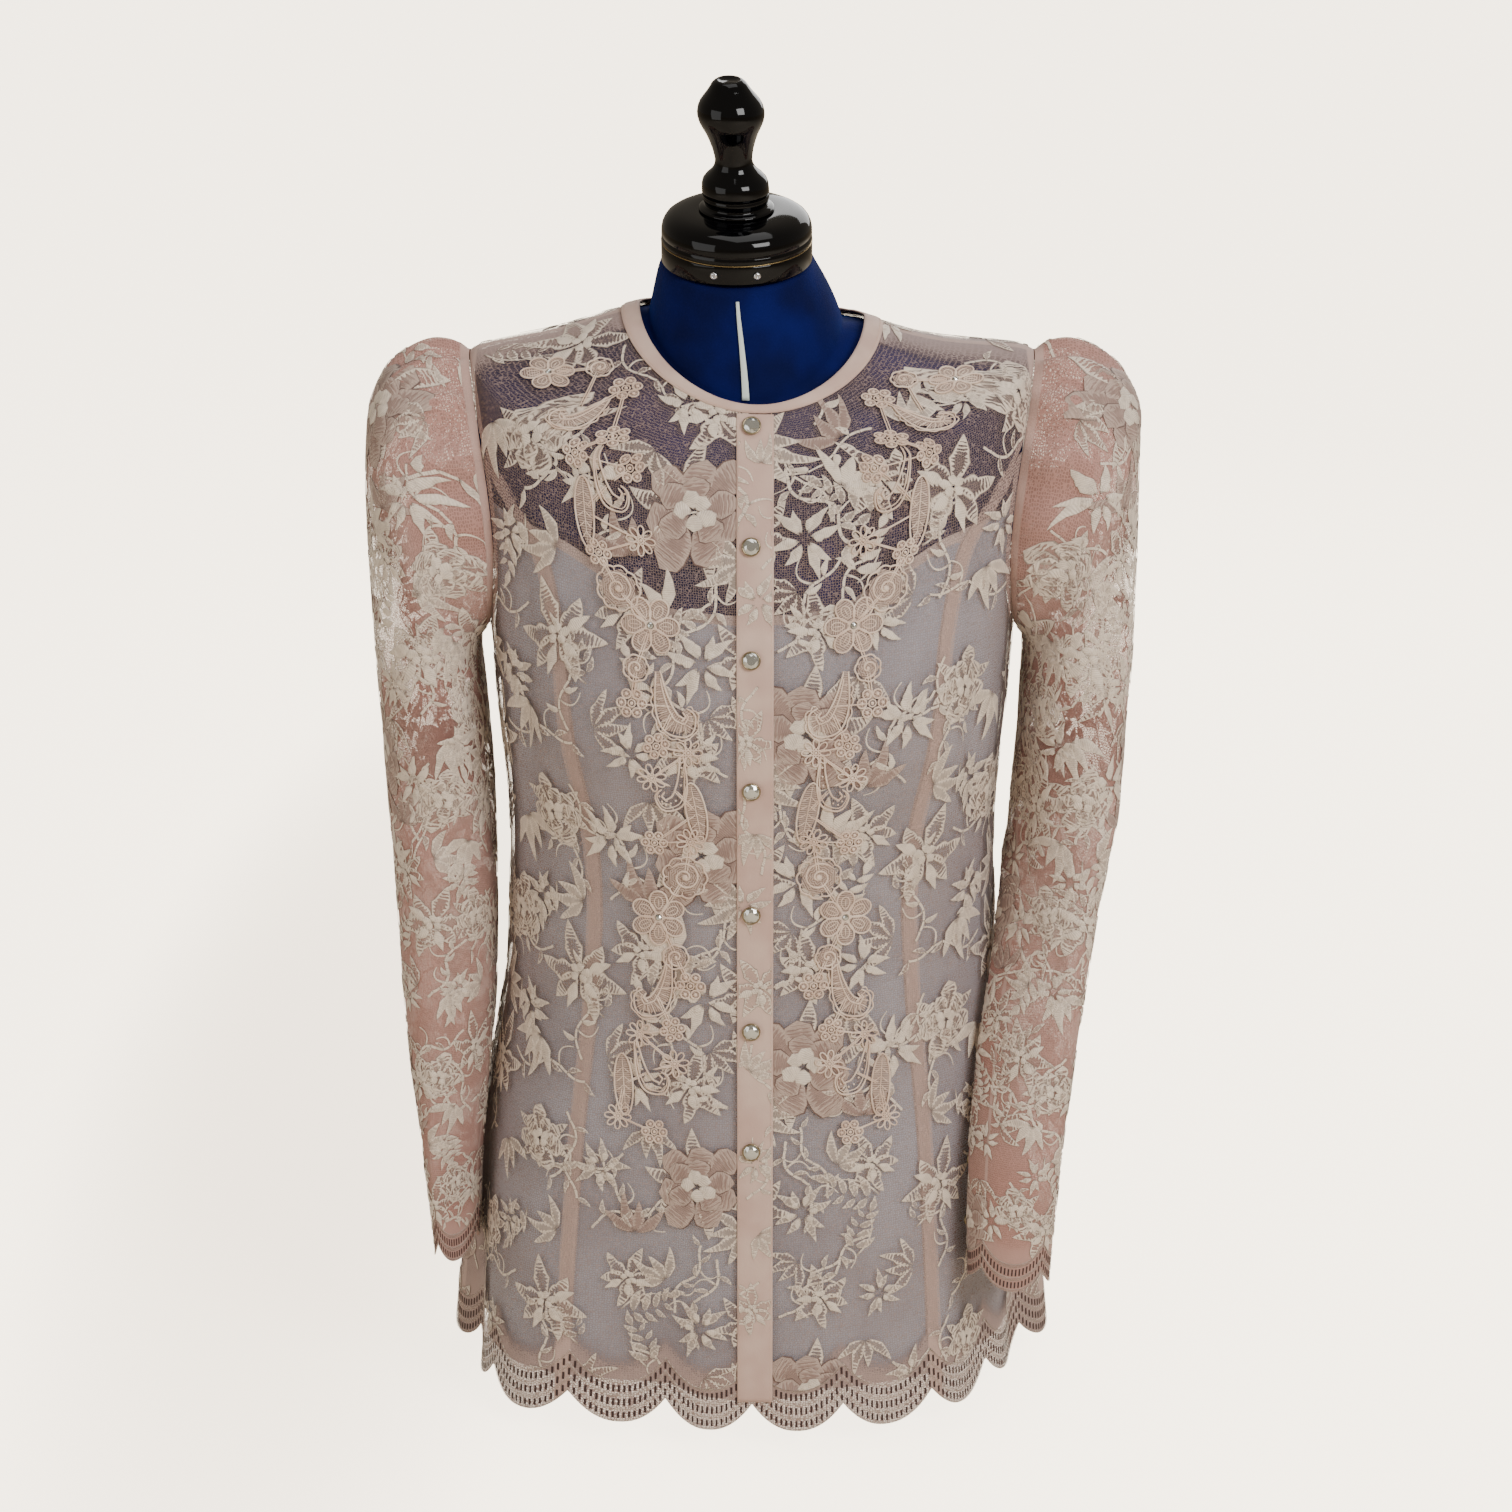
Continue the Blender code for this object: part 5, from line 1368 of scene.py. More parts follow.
def makeBinding():
    around = np.arange(0, 360, 2.0)[:, None]
    level, out = np.array(bindingProfile).T
    level = level[None, :]
    wave = 1 + 0.06 * np.sin(np.radians(around) * 23) + 0.04 * np.sin(np.radians(around) * 41)
    normal = bodyNormal(around, level + 0 * around, False)
    rings = bodyPoint(around, level, False) + normal * (out * wave)[..., None]
    settle(loft("neck_binding_cloth", rings, "band", closed=True), ["neck_binding"])
    flat = np.append(around[:, 0], 360.0)
    line = bodyPoint(flat, bindingStitches["level"], False)
    away = bodyNormal(flat, bindingStitches["level"] + 0 * flat, False)
    sewLines("binding_stitches", [line + away * bindingStitches["out"]], 0.0030, 0.0022, 0.0004)


button = {
    "levels": (0.018, 0.105, 0.182, 0.270, 0.358, 0.441, 0.526), "around": -0.2, "radius": 0.0062,
    "height": 0.0042, "cuffRadius": 0.0045, "cuffDown": (0.545, 0.590),
    "cuffTurn": {"right": 20.0, "left": -115.0}, "cuffLift": 0.0010, "sides": 24, "facets": 10,
}
cupProfile = ((0.60, 0.0), (0.92, 0.12), (1.0, 0.32), (1.0, 0.48), (0.94, 0.58), (0.86, 0.56), (0.82, 0.44))
stoneProfile = ((0.84, 0.44), (0.84, 0.54), (0.70, 0.78), (0.48, 0.97), (0.02, 1.0))


def turnedOn(name, seat, normal, profile, radius, height, sides, look, smooth=True):
    # A turned piece on a seat; a flat-sided one has its rings half a side apart, as facets
    across = unit(np.cross((0, 0, 1), normal))
    upward = np.cross(normal, across)
    rings = []
    for k, (share, up) in enumerate(profile):
        t = np.linspace(0, 2 * np.pi, sides, endpoint=False) + (0 if smooth else np.pi / sides * (k % 2))
        ring = (np.cos(t)[:, None] * across + np.sin(t)[:, None] * upward) * radius * share
        rings.append(seat + normal * height * up + ring)
    return loft(name, rings, look, smooth=smooth)


def makeButton(name, seat, normal, radius):
    high = button["height"]
    cup = turnedOn("cup", seat, normal, cupProfile, radius, high, button["sides"], "cup")
    stone = turnedOn("stone", seat, normal, stoneProfile, radius, high, button["facets"], "stone", False)
    settle(joined(f"{name}_jewel", [cup, stone]), [name])


def makeButtons():
    lift = band["gap"] + band["wall"] * band["crown"] + band["seamGap"]
    for index, level in enumerate(button["levels"], 1):
        seat = clothPoint(button["around"], level, lift)
        makeButton(f"button_{index}", seat, bodyNormal(button["around"], level), button["radius"])
    for word, one in sleeves.items():
        for index, down in enumerate(button["cuffDown"], 1):
            turn = button["cuffTurn"][word]
            seat = sleeveCloth(one, turn, down, button["cuffLift"])
            normal = sleeveNormal(one, np.array(turn), np.array(down))
            makeButton(f"cuff_button_{word}_{index}", seat, normal, button["cuffRadius"])


makeBand()
makeBinding()
makeButtons()
say("band, binding and buttons")


# Guipure trims, motif by motif as in the solids
motifRows = (
    ("flower", 0.038, 66.0, 0.0170, 10, 1), ("round", 0.023, 60.5, 0.0085, 0, 1),
    ("scroll", 0.042, 48.5, 0.0215, -25, -1), ("small_flower", 0.022, 48.5, 0.0100, 0, 1),
    ("small_flower", 0.045, 36.5, 0.0100, 12, 1), ("small_flower", 0.062, 40.5, 0.0092, 0, 1),
    ("small_flower", 0.060, 28.0, 0.0100, 20, 1), ("slim_scroll", 0.074, 32.0, 0.0230, 8, 1),
    ("leaf", 0.098, 37.5, 0.0220, 6, 1), ("daisy", 0.108, 25.0, 0.0098, 0, 1),
    ("small_flower", 0.121, 34.5, 0.0092, 0, 1), ("round", 0.140, 30.5, 0.0150, 0, 1),
    ("flower", 0.161, 23.5, 0.0195, 0, 1), ("round", 0.190, 27.0, 0.0088, 0, 1),
    ("small_flower", 0.213, 28.0, 0.0104, 0, 1), ("scroll", 0.214, 18.5, 0.0240, 0, 1),
    ("small_flower", 0.240, 22.8, 0.0092, 15, 1), ("daisy", 0.244, 15.6, 0.0095, 0, 1),
    ("daisy", 0.262, 24.3, 0.0098, 10, 1), ("slim_scroll", 0.268, 19.8, 0.0225, -6, -1),
    ("leaf", 0.286, 14.2, 0.0220, -8, -1), ("small_flower", 0.309, 25.0, 0.0092, 0, 1),
    ("daisy", 0.307, 16.0, 0.0095, 20, 1), ("round", 0.333, 17.6, 0.0150, 0, 1),
    ("flower", 0.363, 24.6, 0.0195, 30, 1), ("round", 0.390, 20.0, 0.0088, 0, 1),
    ("small_flower", 0.410, 16.2, 0.0104, 0, 1), ("scroll", 0.414, 25.6, 0.0240, 0, -1),
    ("small_flower", 0.442, 20.6, 0.0092, 15, 1), ("daisy", 0.447, 29.0, 0.0095, 0, 1),
    ("daisy", 0.466, 19.8, 0.0098, 10, 1), ("slim_scroll", 0.472, 25.6, 0.0225, 6, 1),
    ("leaf", 0.484, 32.2, 0.0220, 8, 1), ("daisy", 0.507, 33.0, 0.0095, 0, 1),
    ("small_flower", 0.515, 24.0, 0.0092, 0, 1),
)
scrollRows = (
    (0.43, -0.96, 0.06), (0.38, -0.45, 0.14), (0.28, 0.05, 0.23), (0.05, 0.48, 0.29),
    (-0.27, 0.58, 0.24), (-0.43, 0.28, 0.14), (-0.26, 0.08, 0.07),
)
trim = {
    "gap": 0.0011, "wall": 0.0013, "cord": 0.00068, "fine": 0.00042, "sides": 5, "slim": 0.72,
    "leafHalf": 0.30, "stemHalf": 0.0008, "stemFrom": 0.35, "stemLift": 0.0005, "bead": 0.00085,
    "largeRound": 0.012, "fillLift": 0.0003, "sunk": 0.0002, "endShare": 0.35,
}


def ringPath(x, y, radius, count):
    t = np.linspace(0, 2 * np.pi, count, endpoint=False)
    return np.stack([x + radius * np.cos(t), y + radius * np.sin(t)], -1)


def ray(size, at, stops):
    # A straight cord outwards from the middle
    return np.array([[r * size * math.cos(at), r * size * math.sin(at)] for r in stops])


def petalLoop(inner, outer, half, at, count, power):
    # A closed pointed oval from the middle outwards
    t = np.linspace(0, 2 * np.pi, count, endpoint=False)
    along = inner + (outer - inner) * (0.5 - 0.5 * np.cos(t))
    side = half * np.sin(t) * np.abs(np.sin(t / 2)) ** power
    c, s = math.cos(at), math.sin(at)
    return np.stack([along * c - side * s, along * s + side * c], -1)


def scrollPath(size, slim, count=34):
    rows = np.array(scrollRows) * (1, 1, slim)
    share = np.linspace(0, 1, len(rows))
    fine = np.linspace(0, 1, count)
    middle = np.stack([cubicThrough(share, rows[:, k], fine) for k in range(3)], -1) * size
    ahead = np.gradient(middle[:, :2], axis=0)
    across = np.stack([-ahead[:, 1], ahead[:, 0]], -1) / np.linalg.norm(ahead, axis=1, keepdims=True)
    return middle[:, :2], across, middle[:, 2]


# Each motif gives its cords, as (path, closed, radius), and its beads and stones, as (x, y, radius, look)
def flowerCords(size):
    cords = []
    for i in range(6):
        at = math.pi / 3 * i
        cords += [
            (petalLoop(0.14 * size, 0.98 * size, 0.34 * size, at, 16, 0.35), True, trim["cord"]),
            (petalLoop(0.30 * size, 0.76 * size, 0.17 * size, at, 10, 0.35), True, trim["fine"]),
            (ray(size, at, (0.36, 0.52, 0.68)), False, trim["fine"]),
        ]
    cords.append((ringPath(0, 0, 0.15 * size, 12), True, trim["cord"]))
    return cords, [(0, 0, 0.11 * size, "stone")]


def smallFlowerCords(size):
    cords, dots = [], []
    for i in range(6):
        x, y = ray(size, math.pi / 3 * i, (0.66,))[0]
        cords.append((ringPath(x, y, 0.30 * size, 9), True, trim["cord"] * 0.85))
        dots.append((x, y, 0.12 * size, "bead"))
    cords.append((ringPath(0, 0, 0.24 * size, 8), True, trim["cord"] * 0.8))
    return cords, dots + [(0, 0, 0.13 * size, "bead")]


def daisyCords(size):
    cords = [
        (petalLoop(0.26 * size, 1.0 * size, 0.22 * size, math.pi / 4 * i, 10, 0.2), True, trim["fine"] * 1.35)
        for i in range(8)
    ]
    cords.append((ringPath(0, 0, 0.20 * size, 8), True, trim["fine"] * 1.4))
    return cords, [(0, 0, 0.12 * size, "bead")]


def roundCords(size):
    turns, count = (1.9, 9) if size > trim["largeRound"] else (1.3, 7)
    t = np.linspace(0, 1, 34)
    reach, angle = 0.72 * size * t, 2 * np.pi * turns * t
    cords = [(np.stack([reach * np.cos(angle), reach * np.sin(angle)], -1), False, trim["cord"])]
    t = np.linspace(0, 2 * np.pi, count * 6, endpoint=False)
    edge = size * (0.90 + 0.10 * np.abs(np.sin(count * t / 2)))
    cords.append((np.stack([edge * np.cos(t), edge * np.sin(t)], -1), True, trim["cord"]))
    for i in range(count):
        cords.append((ray(size, 2 * math.pi / count * i, (0.72, 0.82, 0.92)), False, trim["fine"]))
    return cords, [(0, 0, 0.14 * size, "bead")]


def scrollCords(size, slim):
    middle, across, half = scrollPath(size, slim)
    left, right = middle + across * half[:, None], middle - across * half[:, None]
    cords = [(left, False, trim["cord"]), (right, False, trim["cord"])]
    inner = middle + across * (half * 0.45)[:, None]
    dots = []
    if slim < 1:
        inner = middle - across * (half * 0.5)[:, None]
        cords.append((inner[3:-3], False, trim["fine"]))
        beadLine = (middle + across * (half * 0.2)[:, None])[4:-3:3]
        dots = [(x, y, trim["bead"] * 0.9, "bead") for x, y in beadLine]
    else:
        cords.append((inner[2:-2], False, trim["fine"] * 1.3))
        for k in range(4, len(middle) - 3, 2):
            rib = np.stack([right[k], right[k] + (inner[k] - right[k]) * 0.5, inner[k]])
            cords.append((rib, False, trim["fine"]))
        lobes = 10  # little loops along the outer side
        t, stops = np.linspace(0, 1, lobes * 5), np.linspace(0, 1, len(right))
        edge = np.stack([np.interp(t, stops, right[:, k]) for k in range(2)], -1)
        away = np.stack([np.interp(t, stops, -across[:, k]) for k in range(2)], -1)
        edge = edge + away * (0.04 + 0.07 * np.abs(np.sin(np.pi * lobes * t)))[:, None] * size
        cords.append((edge[6:], False, trim["fine"] * 1.3))
    return cords, dots


def leafCords(size):
    t = np.linspace(0, 2 * np.pi, 20, endpoint=False)
    edge = np.stack([trim["leafHalf"] * size * np.sin(t), size * np.cos(t)], -1)
    vein = np.array([[0, y * size] for y in (-0.92, -0.4, 0.2, 0.85)])
    cords = [(edge, True, trim["cord"]), (vein, False, trim["fine"])]
    for k in range(5):
        y = -0.55 + 0.28 * k
        reach = trim["leafHalf"] * math.sqrt(max(1 - (y + 0.22) ** 2, 0.05)) * 0.92
        for way in (-1, 1):
            rib = np.array([[0, y], [way * reach * 0.5, y + 0.12], [way * reach, y + 0.2]]) * size
            cords.append((rib, False, trim["fine"]))
    return cords, []


def motifCords(kind, size):
    if kind in ("scroll", "slim_scroll"):
        return scrollCords(size, trim["slim"] if kind == "slim_scroll" else 1.0)
    return {
        "flower": flowerCords, "small_flower": smallFlowerCords, "daisy": daisyCords, "round": roundCords,
        "leaf": leafCords,
    }[kind](size)


def tubeMesh(name, paths, surface, look):
    # Cords of (flat places, closed, radius, height), laid with one call of the surface
    places = np.concatenate([path for path, _, _, _ in paths])
    heights = np.concatenate([np.full(len(path), height) for path, _, _, height in paths])
    points, normals = surface(places, heights)
    sides = trim["sides"]
    angle = np.linspace(0, 2 * np.pi, sides, endpoint=False)
    allPoints, allFaces, at, count = [], [], 0, 0
    for path, closed, radius, _ in paths:
        p, n = points[at:at + len(path)], normals[at:at + len(path)]
        at += len(path)
        if closed:
            p, n = np.concatenate([p, p[:1]]), np.concatenate([n, n[:1]])
            ahead = np.roll(p[:-1], -1, 0) - np.roll(p[:-1], 1, 0)
            ahead = unit(np.concatenate([ahead, ahead[:1]]))
        else:
            ahead = unit(np.gradient(p, axis=0))
        thick = np.full(len(p), radius)
        if not closed:
            thick[[0, -1]] = radius * trim["endShare"]
        across = unit(np.cross(n, ahead))
        spoke = across[:, None] * np.cos(angle)[None, :, None] + n[:, None] * np.sin(angle)[None, :, None]
        ring = p[:, None] + spoke * thick[:, None, None]
        allPoints.append(ring.reshape(-1, 3))
        allFaces.append(gridFaces(len(p), sides, True) + count)
        count += len(p) * sides
    return meshFrom(name, np.concatenate(allPoints), np.vstack(allFaces), look)


def turnedFlat(flat, turn, mirror):
    lean = mirror * math.radians(turn)
    x, y = flat[:, 0] * mirror, flat[:, 1]
    return x * math.cos(lean) - y * math.sin(lean), x * math.sin(lean) + y * math.cos(lean)


def trimPlaces(side, level, around, size, turn, mirror, flat):
    # From metres around a motif to places on the cloth
    x, y = turnedFlat(flat, turn, mirror)
    across, down = 1 / metresPerDegree(around, level), 1 / metresPerLevel(around, level)
    return np.stack([side * (around + x * across), np.maximum(level + y * down, 0.0)], -1)


def makeTrims():
    for word, side in (("right", -1), ("left", 1)):
        paths, middles, dots = [], [], {"bead": [], "stone": []}
        for kind, level, around, size, turn, mirror in motifRows:
            cords, motifDots = motifCords(kind, size)
            height = trim["gap"] + trim["wall"] - trim["cord"]
            for flat, closed, radius in cords:
                placed = trimPlaces(side, level, around, size, turn, mirror, flat)
                sunk = trim["sunk"] if radius < trim["cord"] * 0.8 else 0
                paths.append((placed, closed, radius, height - sunk))
            for x, y, radius, look in motifDots:
                placed = trimPlaces(side, level, around, size, turn, mirror, np.array([[x, y]]))[0]
                dots[look].append((*placed, radius))
            middles.append((around, level, size))
        for (a, b, size), (nextA, nextB, nextSize) in zip(middles, middles[1:]):
            wide = metresPerDegree((a + nextA) / 2, (b + nextB) / 2)
            if math.hypot((nextA - a) * wide, nextB - b) > trim["stemFrom"] * (size + nextSize):
                t = np.linspace(0.12, 0.88, 7)[:, None]
                start, end = np.array((side * a, b)), np.array((side * nextA, nextB))
                line, lift = start + (end - start) * t, trim["gap"] + trim["stemLift"]
                for way in (-1, 1):
                    twin = line + (way * trim["stemHalf"] / wide, 0)
                    paths.append((twin, False, trim["fine"] * 1.2, lift))

        def surface(places, heights):
            normals = bodyNormal(places[:, 0], places[:, 1])
            return clothPoint(places[:, 0], places[:, 1], heights), normals

        cords = tubeMesh(f"guipure_cords_{word}", paths, surface, "cord")
        settle(cords, [f"guipure_trim_{word}"])
        print("guipure triangles", 2 * len(cords.data.polygons))
        for kind, name, look, slot, share, sides, height in (
            ("bead", "trim_beads", "cord", "trim", 0.5, 7, 0.75),
            ("stone", "trim_stones", "stone", "jewel", 0.9, 8, 0.6),
        ):
            a, b, radius = np.array(dots[kind]).T
            spots = clothPoint(a, b, trim["gap"] + trim["wall"] * share)
            settle(grown(f"{name}_{word}", pointsMesh("spots", spots, bodyNormal(a, b), radius), beads, {
                "Sides": sides, "Height": height, "Material": looks[look],
            }))
        sewFilling(word, side)


# Thread that fills the petals under their cords: number, from, to and half width as shares, turn, rows
fillings = {
    "flower": (6, 0.12, 0.98, 0.27, 0, 6), "small_flower": (6, 0.30, 0.98, 0.26, 0, 4),
    "round": (7, 0.0, 0.88, 0.42, 1, 4),
}


def fillingBlades(kind, size):
    tone, lift = 0.8, 0.0
    if kind == "leaf":
        return [blade((0, -size), (0, size), trim["leafHalf"] * size, 0, "leaf", tone, lift)]
    if kind == "scroll":
        middle, _, half = scrollPath(size, 1.0, 12)
        return [
            blade(middle[k], middle[k + 2], half[k + 1] * 0.98, 0, "tendril", tone, lift, rows=2)
            for k in range(10)
        ]
    if kind not in fillings:
        return []
    count, inner, outer, wide, first, rows = fillings[kind]
    places = (360 / count * i + first for i in range(count))
    return [
        blade(polar(inner * size, at), polar(outer * size, at), wide * size, 0, "petal", tone, lift, 0, rows)
        for at in places
    ]


def sewFilling(word, side):
    needle = Needle()
    for kind, level, around, size, turn, mirror in motifRows:
        blades = [
            {**one, "points": np.stack(turnedFlat(one["points"], turn, mirror), -1)}
            for one in fillingBlades(kind, size)
        ]
        needle.stitch(blades, (side * around, level), 0, side)

    def toSurface(places, flat):
        around, level = places.T
        wide, tall = metresPerDegree(around, level), metresPerLevel(around, level)
        return around + flat[:, 0] / wide, level + flat[:, 1] / tall

    def keep(places, around, level):
        return around, np.maximum(level, 0.0)

    a, b, height, faces, layers = needle.lay(toSurface, keep)
    points = clothPoint(a, b, trim["gap"] + trim["fillLift"] + height)
    settle(meshFrom(f"guipure_fill_{word}", points, faces, "fill", layers))


makeTrims()
say("guipure trims")


bandSection = np.array(((0.0, 0.15), (0.15, 0.9), (0.5, 1.0), (0.85, 0.9), (1.0, 0.15)))  # across, raised


def borderMesh(name, edge, surface, step, bands):
    share = np.arange(0, 360 + step / 2, step)
    line, raised = bandSection.T
    points, faces, across, along, count = [], [], [], [], 0
    for top, low, height in border["bands"][:bands]:
        lift = raised * height + border["lift"]
        a = share[:, None] + 0 * line[None, :]
        b = edge(share)[:, None] - top - (low - top) * line[None, :]
        points.append(surface(a, b, lift[None, :] + 0 * a).reshape(-1, 3))
        faces.append(gridFaces(len(share), len(line)) + count)
        across.append((line[None, :] * 1.2 - 0.6 + 0 * a).ravel())
        along.append((share[:, None] * bodyNet["metresInDegree"] + 0 * a).ravel())
        count += a.size
    across, along = np.concatenate(across), np.concatenate(along)
    layers = {
        "across": across, "along": along, "tone": np.full(count, border["tone"]),
        "share": np.full(count, 0.5),
        "uv": np.stack([along, across * 0.001], -1),
    }
    return meshFrom(name, np.concatenate(points), np.vstack(faces), "embroidery", layers)


def eyeletMesh(name, edge, surface, step, rows):
    # Dark slots between the bands, as small flat blades: painted shade laid over the border where the eyelet
    # holes are
    at = np.arange(0, 360, step)
    points = []
    for low, high in border["eyelets"][:rows]:
        corners = ((-1, low), (1, low), (1, high), (-1, high))
        quads = [
            surface(at + way * step * border["eyeletHalf"], edge(at) - off, border["eyeletLift"] + 0 * at)
            for way, off in corners
        ]
        points.append(np.stack(quads, 1).reshape(-1, 3))
    points = np.concatenate(points)
    return meshFrom(name, points, np.arange(len(points)).reshape(-1, 4), "eyelet")


def makeBorders():
    bands, rows = len(border["bands"]), len(border["eyelets"])
    settle(borderMesh("hem_border", scallopLevel, clothPoint, border["step"], bands))
    settle(eyeletMesh("hem_eyelets", scallopLevel, clothPoint, border["eyeletStep"], rows))
    for word, one in sleeves.items():
        def surface(turn, down, out, one=one):
            return sleeveCloth(one, turn, down, out)
        bands = border["cuffBands"]
        settle(borderMesh(f"cuff_border_{word}", cuffLevel, surface, border["cuffStep"], bands))
        step = border["cuffEyeletStep"]
        settle(eyeletMesh(f"cuff_eyelets_{word}", cuffLevel, surface, step, bands - 1))


makeBorders()
say("borders")


def declareCloth():
    for key, piece in shellPieces.items():
        cut, _, word = key.rpartition("_")
        if word not in ("right", "left"):
            cut, word = key, ""
        isSleeve = cut == "sleeve"


declareCloth()


# Dress form
neckNames = ("rise", "halfWidth", "frontY", "backY", "frontZ", "sideZ", "backZ")
neckRows = (
    (0.00, 0.0650, 0.0780, 0.0545, 0.7185, 0.7640, 0.7595),
    (0.25, 0.0612, 0.0760, 0.0485, 0.7380, 0.7775, 0.7755),
    (0.60, 0.0555, 0.0725, 0.0395, 0.7660, 0.7930, 0.7980),
    (1.00, 0.0500, 0.0690, 0.0310, 0.7925, 0.8045, 0.8165),
)
form = {
    "steps": 128, "levels": 96, "bottomZ": 0.030, "bottomRound": 0.012, "hemZ": 0.018,
    "lean": (-0.0040, -0.0095), "top": 0.003, "bottom": 0.660, "neckRows": 16, "roundRows": 4,
}
head = {
    "centre": (-0.0100, -0.0185, 0.8055), "tilt": math.radians(13.0), "steps": 96, "cap": 0.0496,
    "lean": 0.055, "leanFrom": 0.0348, "screws": (-17.0, 15.5), "screwUp": 0.0075, "screwOut": 0.0003,
    "screwRadius": 0.0026, "screwHeight": 0.0016, "screwSides": 20,
}
# Profiles of the turned pieces: radius and height, in metres; the screw's are shares of its own
ringProfile = (
    (0.0478, 0.0), (0.0490, 0.0004), (0.0496, 0.0014), (0.0496, 0.0128), (0.0493, 0.0136), (0.0486, 0.0140),
)
lineProfile = ((0.0484, 0.0139), (0.0497, 0.0140), (0.0497, 0.0144), (0.0484, 0.0145))
screwProfile = ((1.0, 0.0), (1.0, 0.3), (0.86, 0.75), (0.5, 1.0), (0.3, 0.98), (0.28, 0.55), (0.02, 0.5))
footProfile = ((0.0770, 0.0), (0.0780, 0.0010), (0.0780, 0.0267), (0.0771, 0.0288), (0.0750, 0.0297))
domeProfile = (
    (0.0484, 0.0143), (0.0492, 0.0146), (0.0494, 0.0152), (0.0494, 0.0186), (0.0489, 0.0190), (0.0494, 0.0194),
    (0.0493, 0.0225), (0.0488, 0.0252), (0.0478, 0.0276), (0.0463, 0.0297), (0.0440, 0.0314), (0.0408, 0.0330),
    (0.0360, 0.0341), (0.0300, 0.0348), (0.0260, 0.0349),
)
finialProfile = (
    (0.0235, 0.0351), (0.0244, 0.0353), (0.0248, 0.0360), (0.0244, 0.0368), (0.0232, 0.0374), (0.0214, 0.0380),
    (0.0206, 0.0388), (0.0208, 0.0400), (0.0216, 0.0425), (0.0219, 0.0450), (0.0213, 0.0455), (0.0219, 0.0460),
    (0.0220, 0.0490), (0.0217, 0.0530), (0.0208, 0.0558), (0.0186, 0.0585), (0.0158, 0.0610), (0.0138, 0.0634),
    (0.0126, 0.0660), (0.0121, 0.0685), (0.0124, 0.0715), (0.0134, 0.0765), (0.0150, 0.0818), (0.0170, 0.0870),
    (0.0192, 0.0912), (0.0209, 0.0950), (0.0217, 0.0985), (0.0218, 0.1012), (0.0210, 0.1050), (0.0196, 0.1080),
    (0.0176, 0.1108), (0.0158, 0.1130), (0.0146, 0.1146), (0.0128, 0.1172), (0.0114, 0.1196), (0.0098, 0.1212),
    (0.0082, 0.1222), (0.0064, 0.1219), (0.0050, 0.1212),
)


def formRing(level):
    around = np.linspace(0, 360, form["steps"], endpoint=False)
    ease = rowAt(bodyRows, bodyNames, level)["formEase"]
    return bodyPoint(around, level, False) - bodyNormal(around, level + 0 * around, False) * ease


def neckLean(rise):
    low, high = form["lean"]
    return low + (high - low) * smoothStep(rise)


def neckRing(rise):
    around = np.linspace(0, 360, form["steps"], endpoint=False)
    row = rowAt(neckRows, neckNames, np.full(around.shape, rise))
    return tilted(sectionPoint(around, row), np.full(around.shape, rise)) + (neckLean(rise), 0, 0)


def makeForm():
    lowest = formRing(body["hem"] - (form["bottomZ"] + form["bottomRound"] - form["hemZ"]))
    rings = []
    for k in range(form["roundRows"] + 1):
        a = math.radians(90 * k / form["roundRows"])
        inward = unit(lowest * (1, 1, 0)) * form["bottomRound"] * (1 - math.sin(a))
        z = form["bottomZ"] + form["bottomRound"] * (1 - math.cos(a))
        rings.append(lowest * (1, 1, 0) + (0, 0, z) - inward)
    rings[-1] = lowest
    rings += [formRing(level) for level in np.linspace(form["bottom"], form["top"], form["levels"])]
    rings += [neckRing(rise) for rise in np.linspace(0, 1, form["neckRows"])]
    settle(loft("form_cover", rings, "felt"), ["form_body"])


def headPoint(radius, up, turn):
    x, y = radius * np.sin(turn), -radius * np.cos(turn)
    leanY = y * math.cos(head["tilt"]) - up * math.sin(head["tilt"])
    leanZ = up * math.cos(head["tilt"]) + y * math.sin(head["tilt"])
    leanX = x - head["lean"] * np.maximum(up - head["leanFrom"], 0)
    return np.array(head["centre"]) + np.stack(np.broadcast_arrays(leanX, leanY, leanZ), -1)


def turnedHead(name, profile, look):
    turn = np.linspace(0, 2 * np.pi, head["steps"], endpoint=False)
    return loft(name, [headPoint(r, up, turn) for r, up in profile], look)


def makeHead():
    settle(turnedHead("cap_ring", ringProfile, "gloss"), ["neck_ring"])
    settle(turnedHead("cap_dome", domeProfile, "gloss"), ["neck_dome"])
    settle(turnedHead("cap_finial", finialProfile, "gloss"), ["finial"])
    settle(turnedHead("cap_line", lineProfile, "gold"))
    radius, high, sides = head["screwRadius"], head["screwHeight"], head["screwSides"]
    for index, degrees in enumerate(head["screws"], 1):
        turn = math.radians(degrees)
        seat = headPoint(head["cap"] + head["screwOut"], head["screwUp"], turn)
        normal = unit(seat - headPoint(0.0, head["screwUp"], turn))
        screw = turnedOn(f"screw_{index}", seat, normal, screwProfile, radius, high, sides, "steel")
        settle(screw, [f"cap_screw_{index}"])


strip = {"rise": (0.90, 0.06), "half": (1.4, 2.6), "steps": 24}  # of the neck's gap, from its top to its foot
stripProfile = (  # share across, height over the neck
    (-1, 0.0006), (-1, 0.0013), (-0.8, 0.0016), (0, 0.0016), (0.8, 0.0016), (1, 0.0013), (1, 0.0006),
)


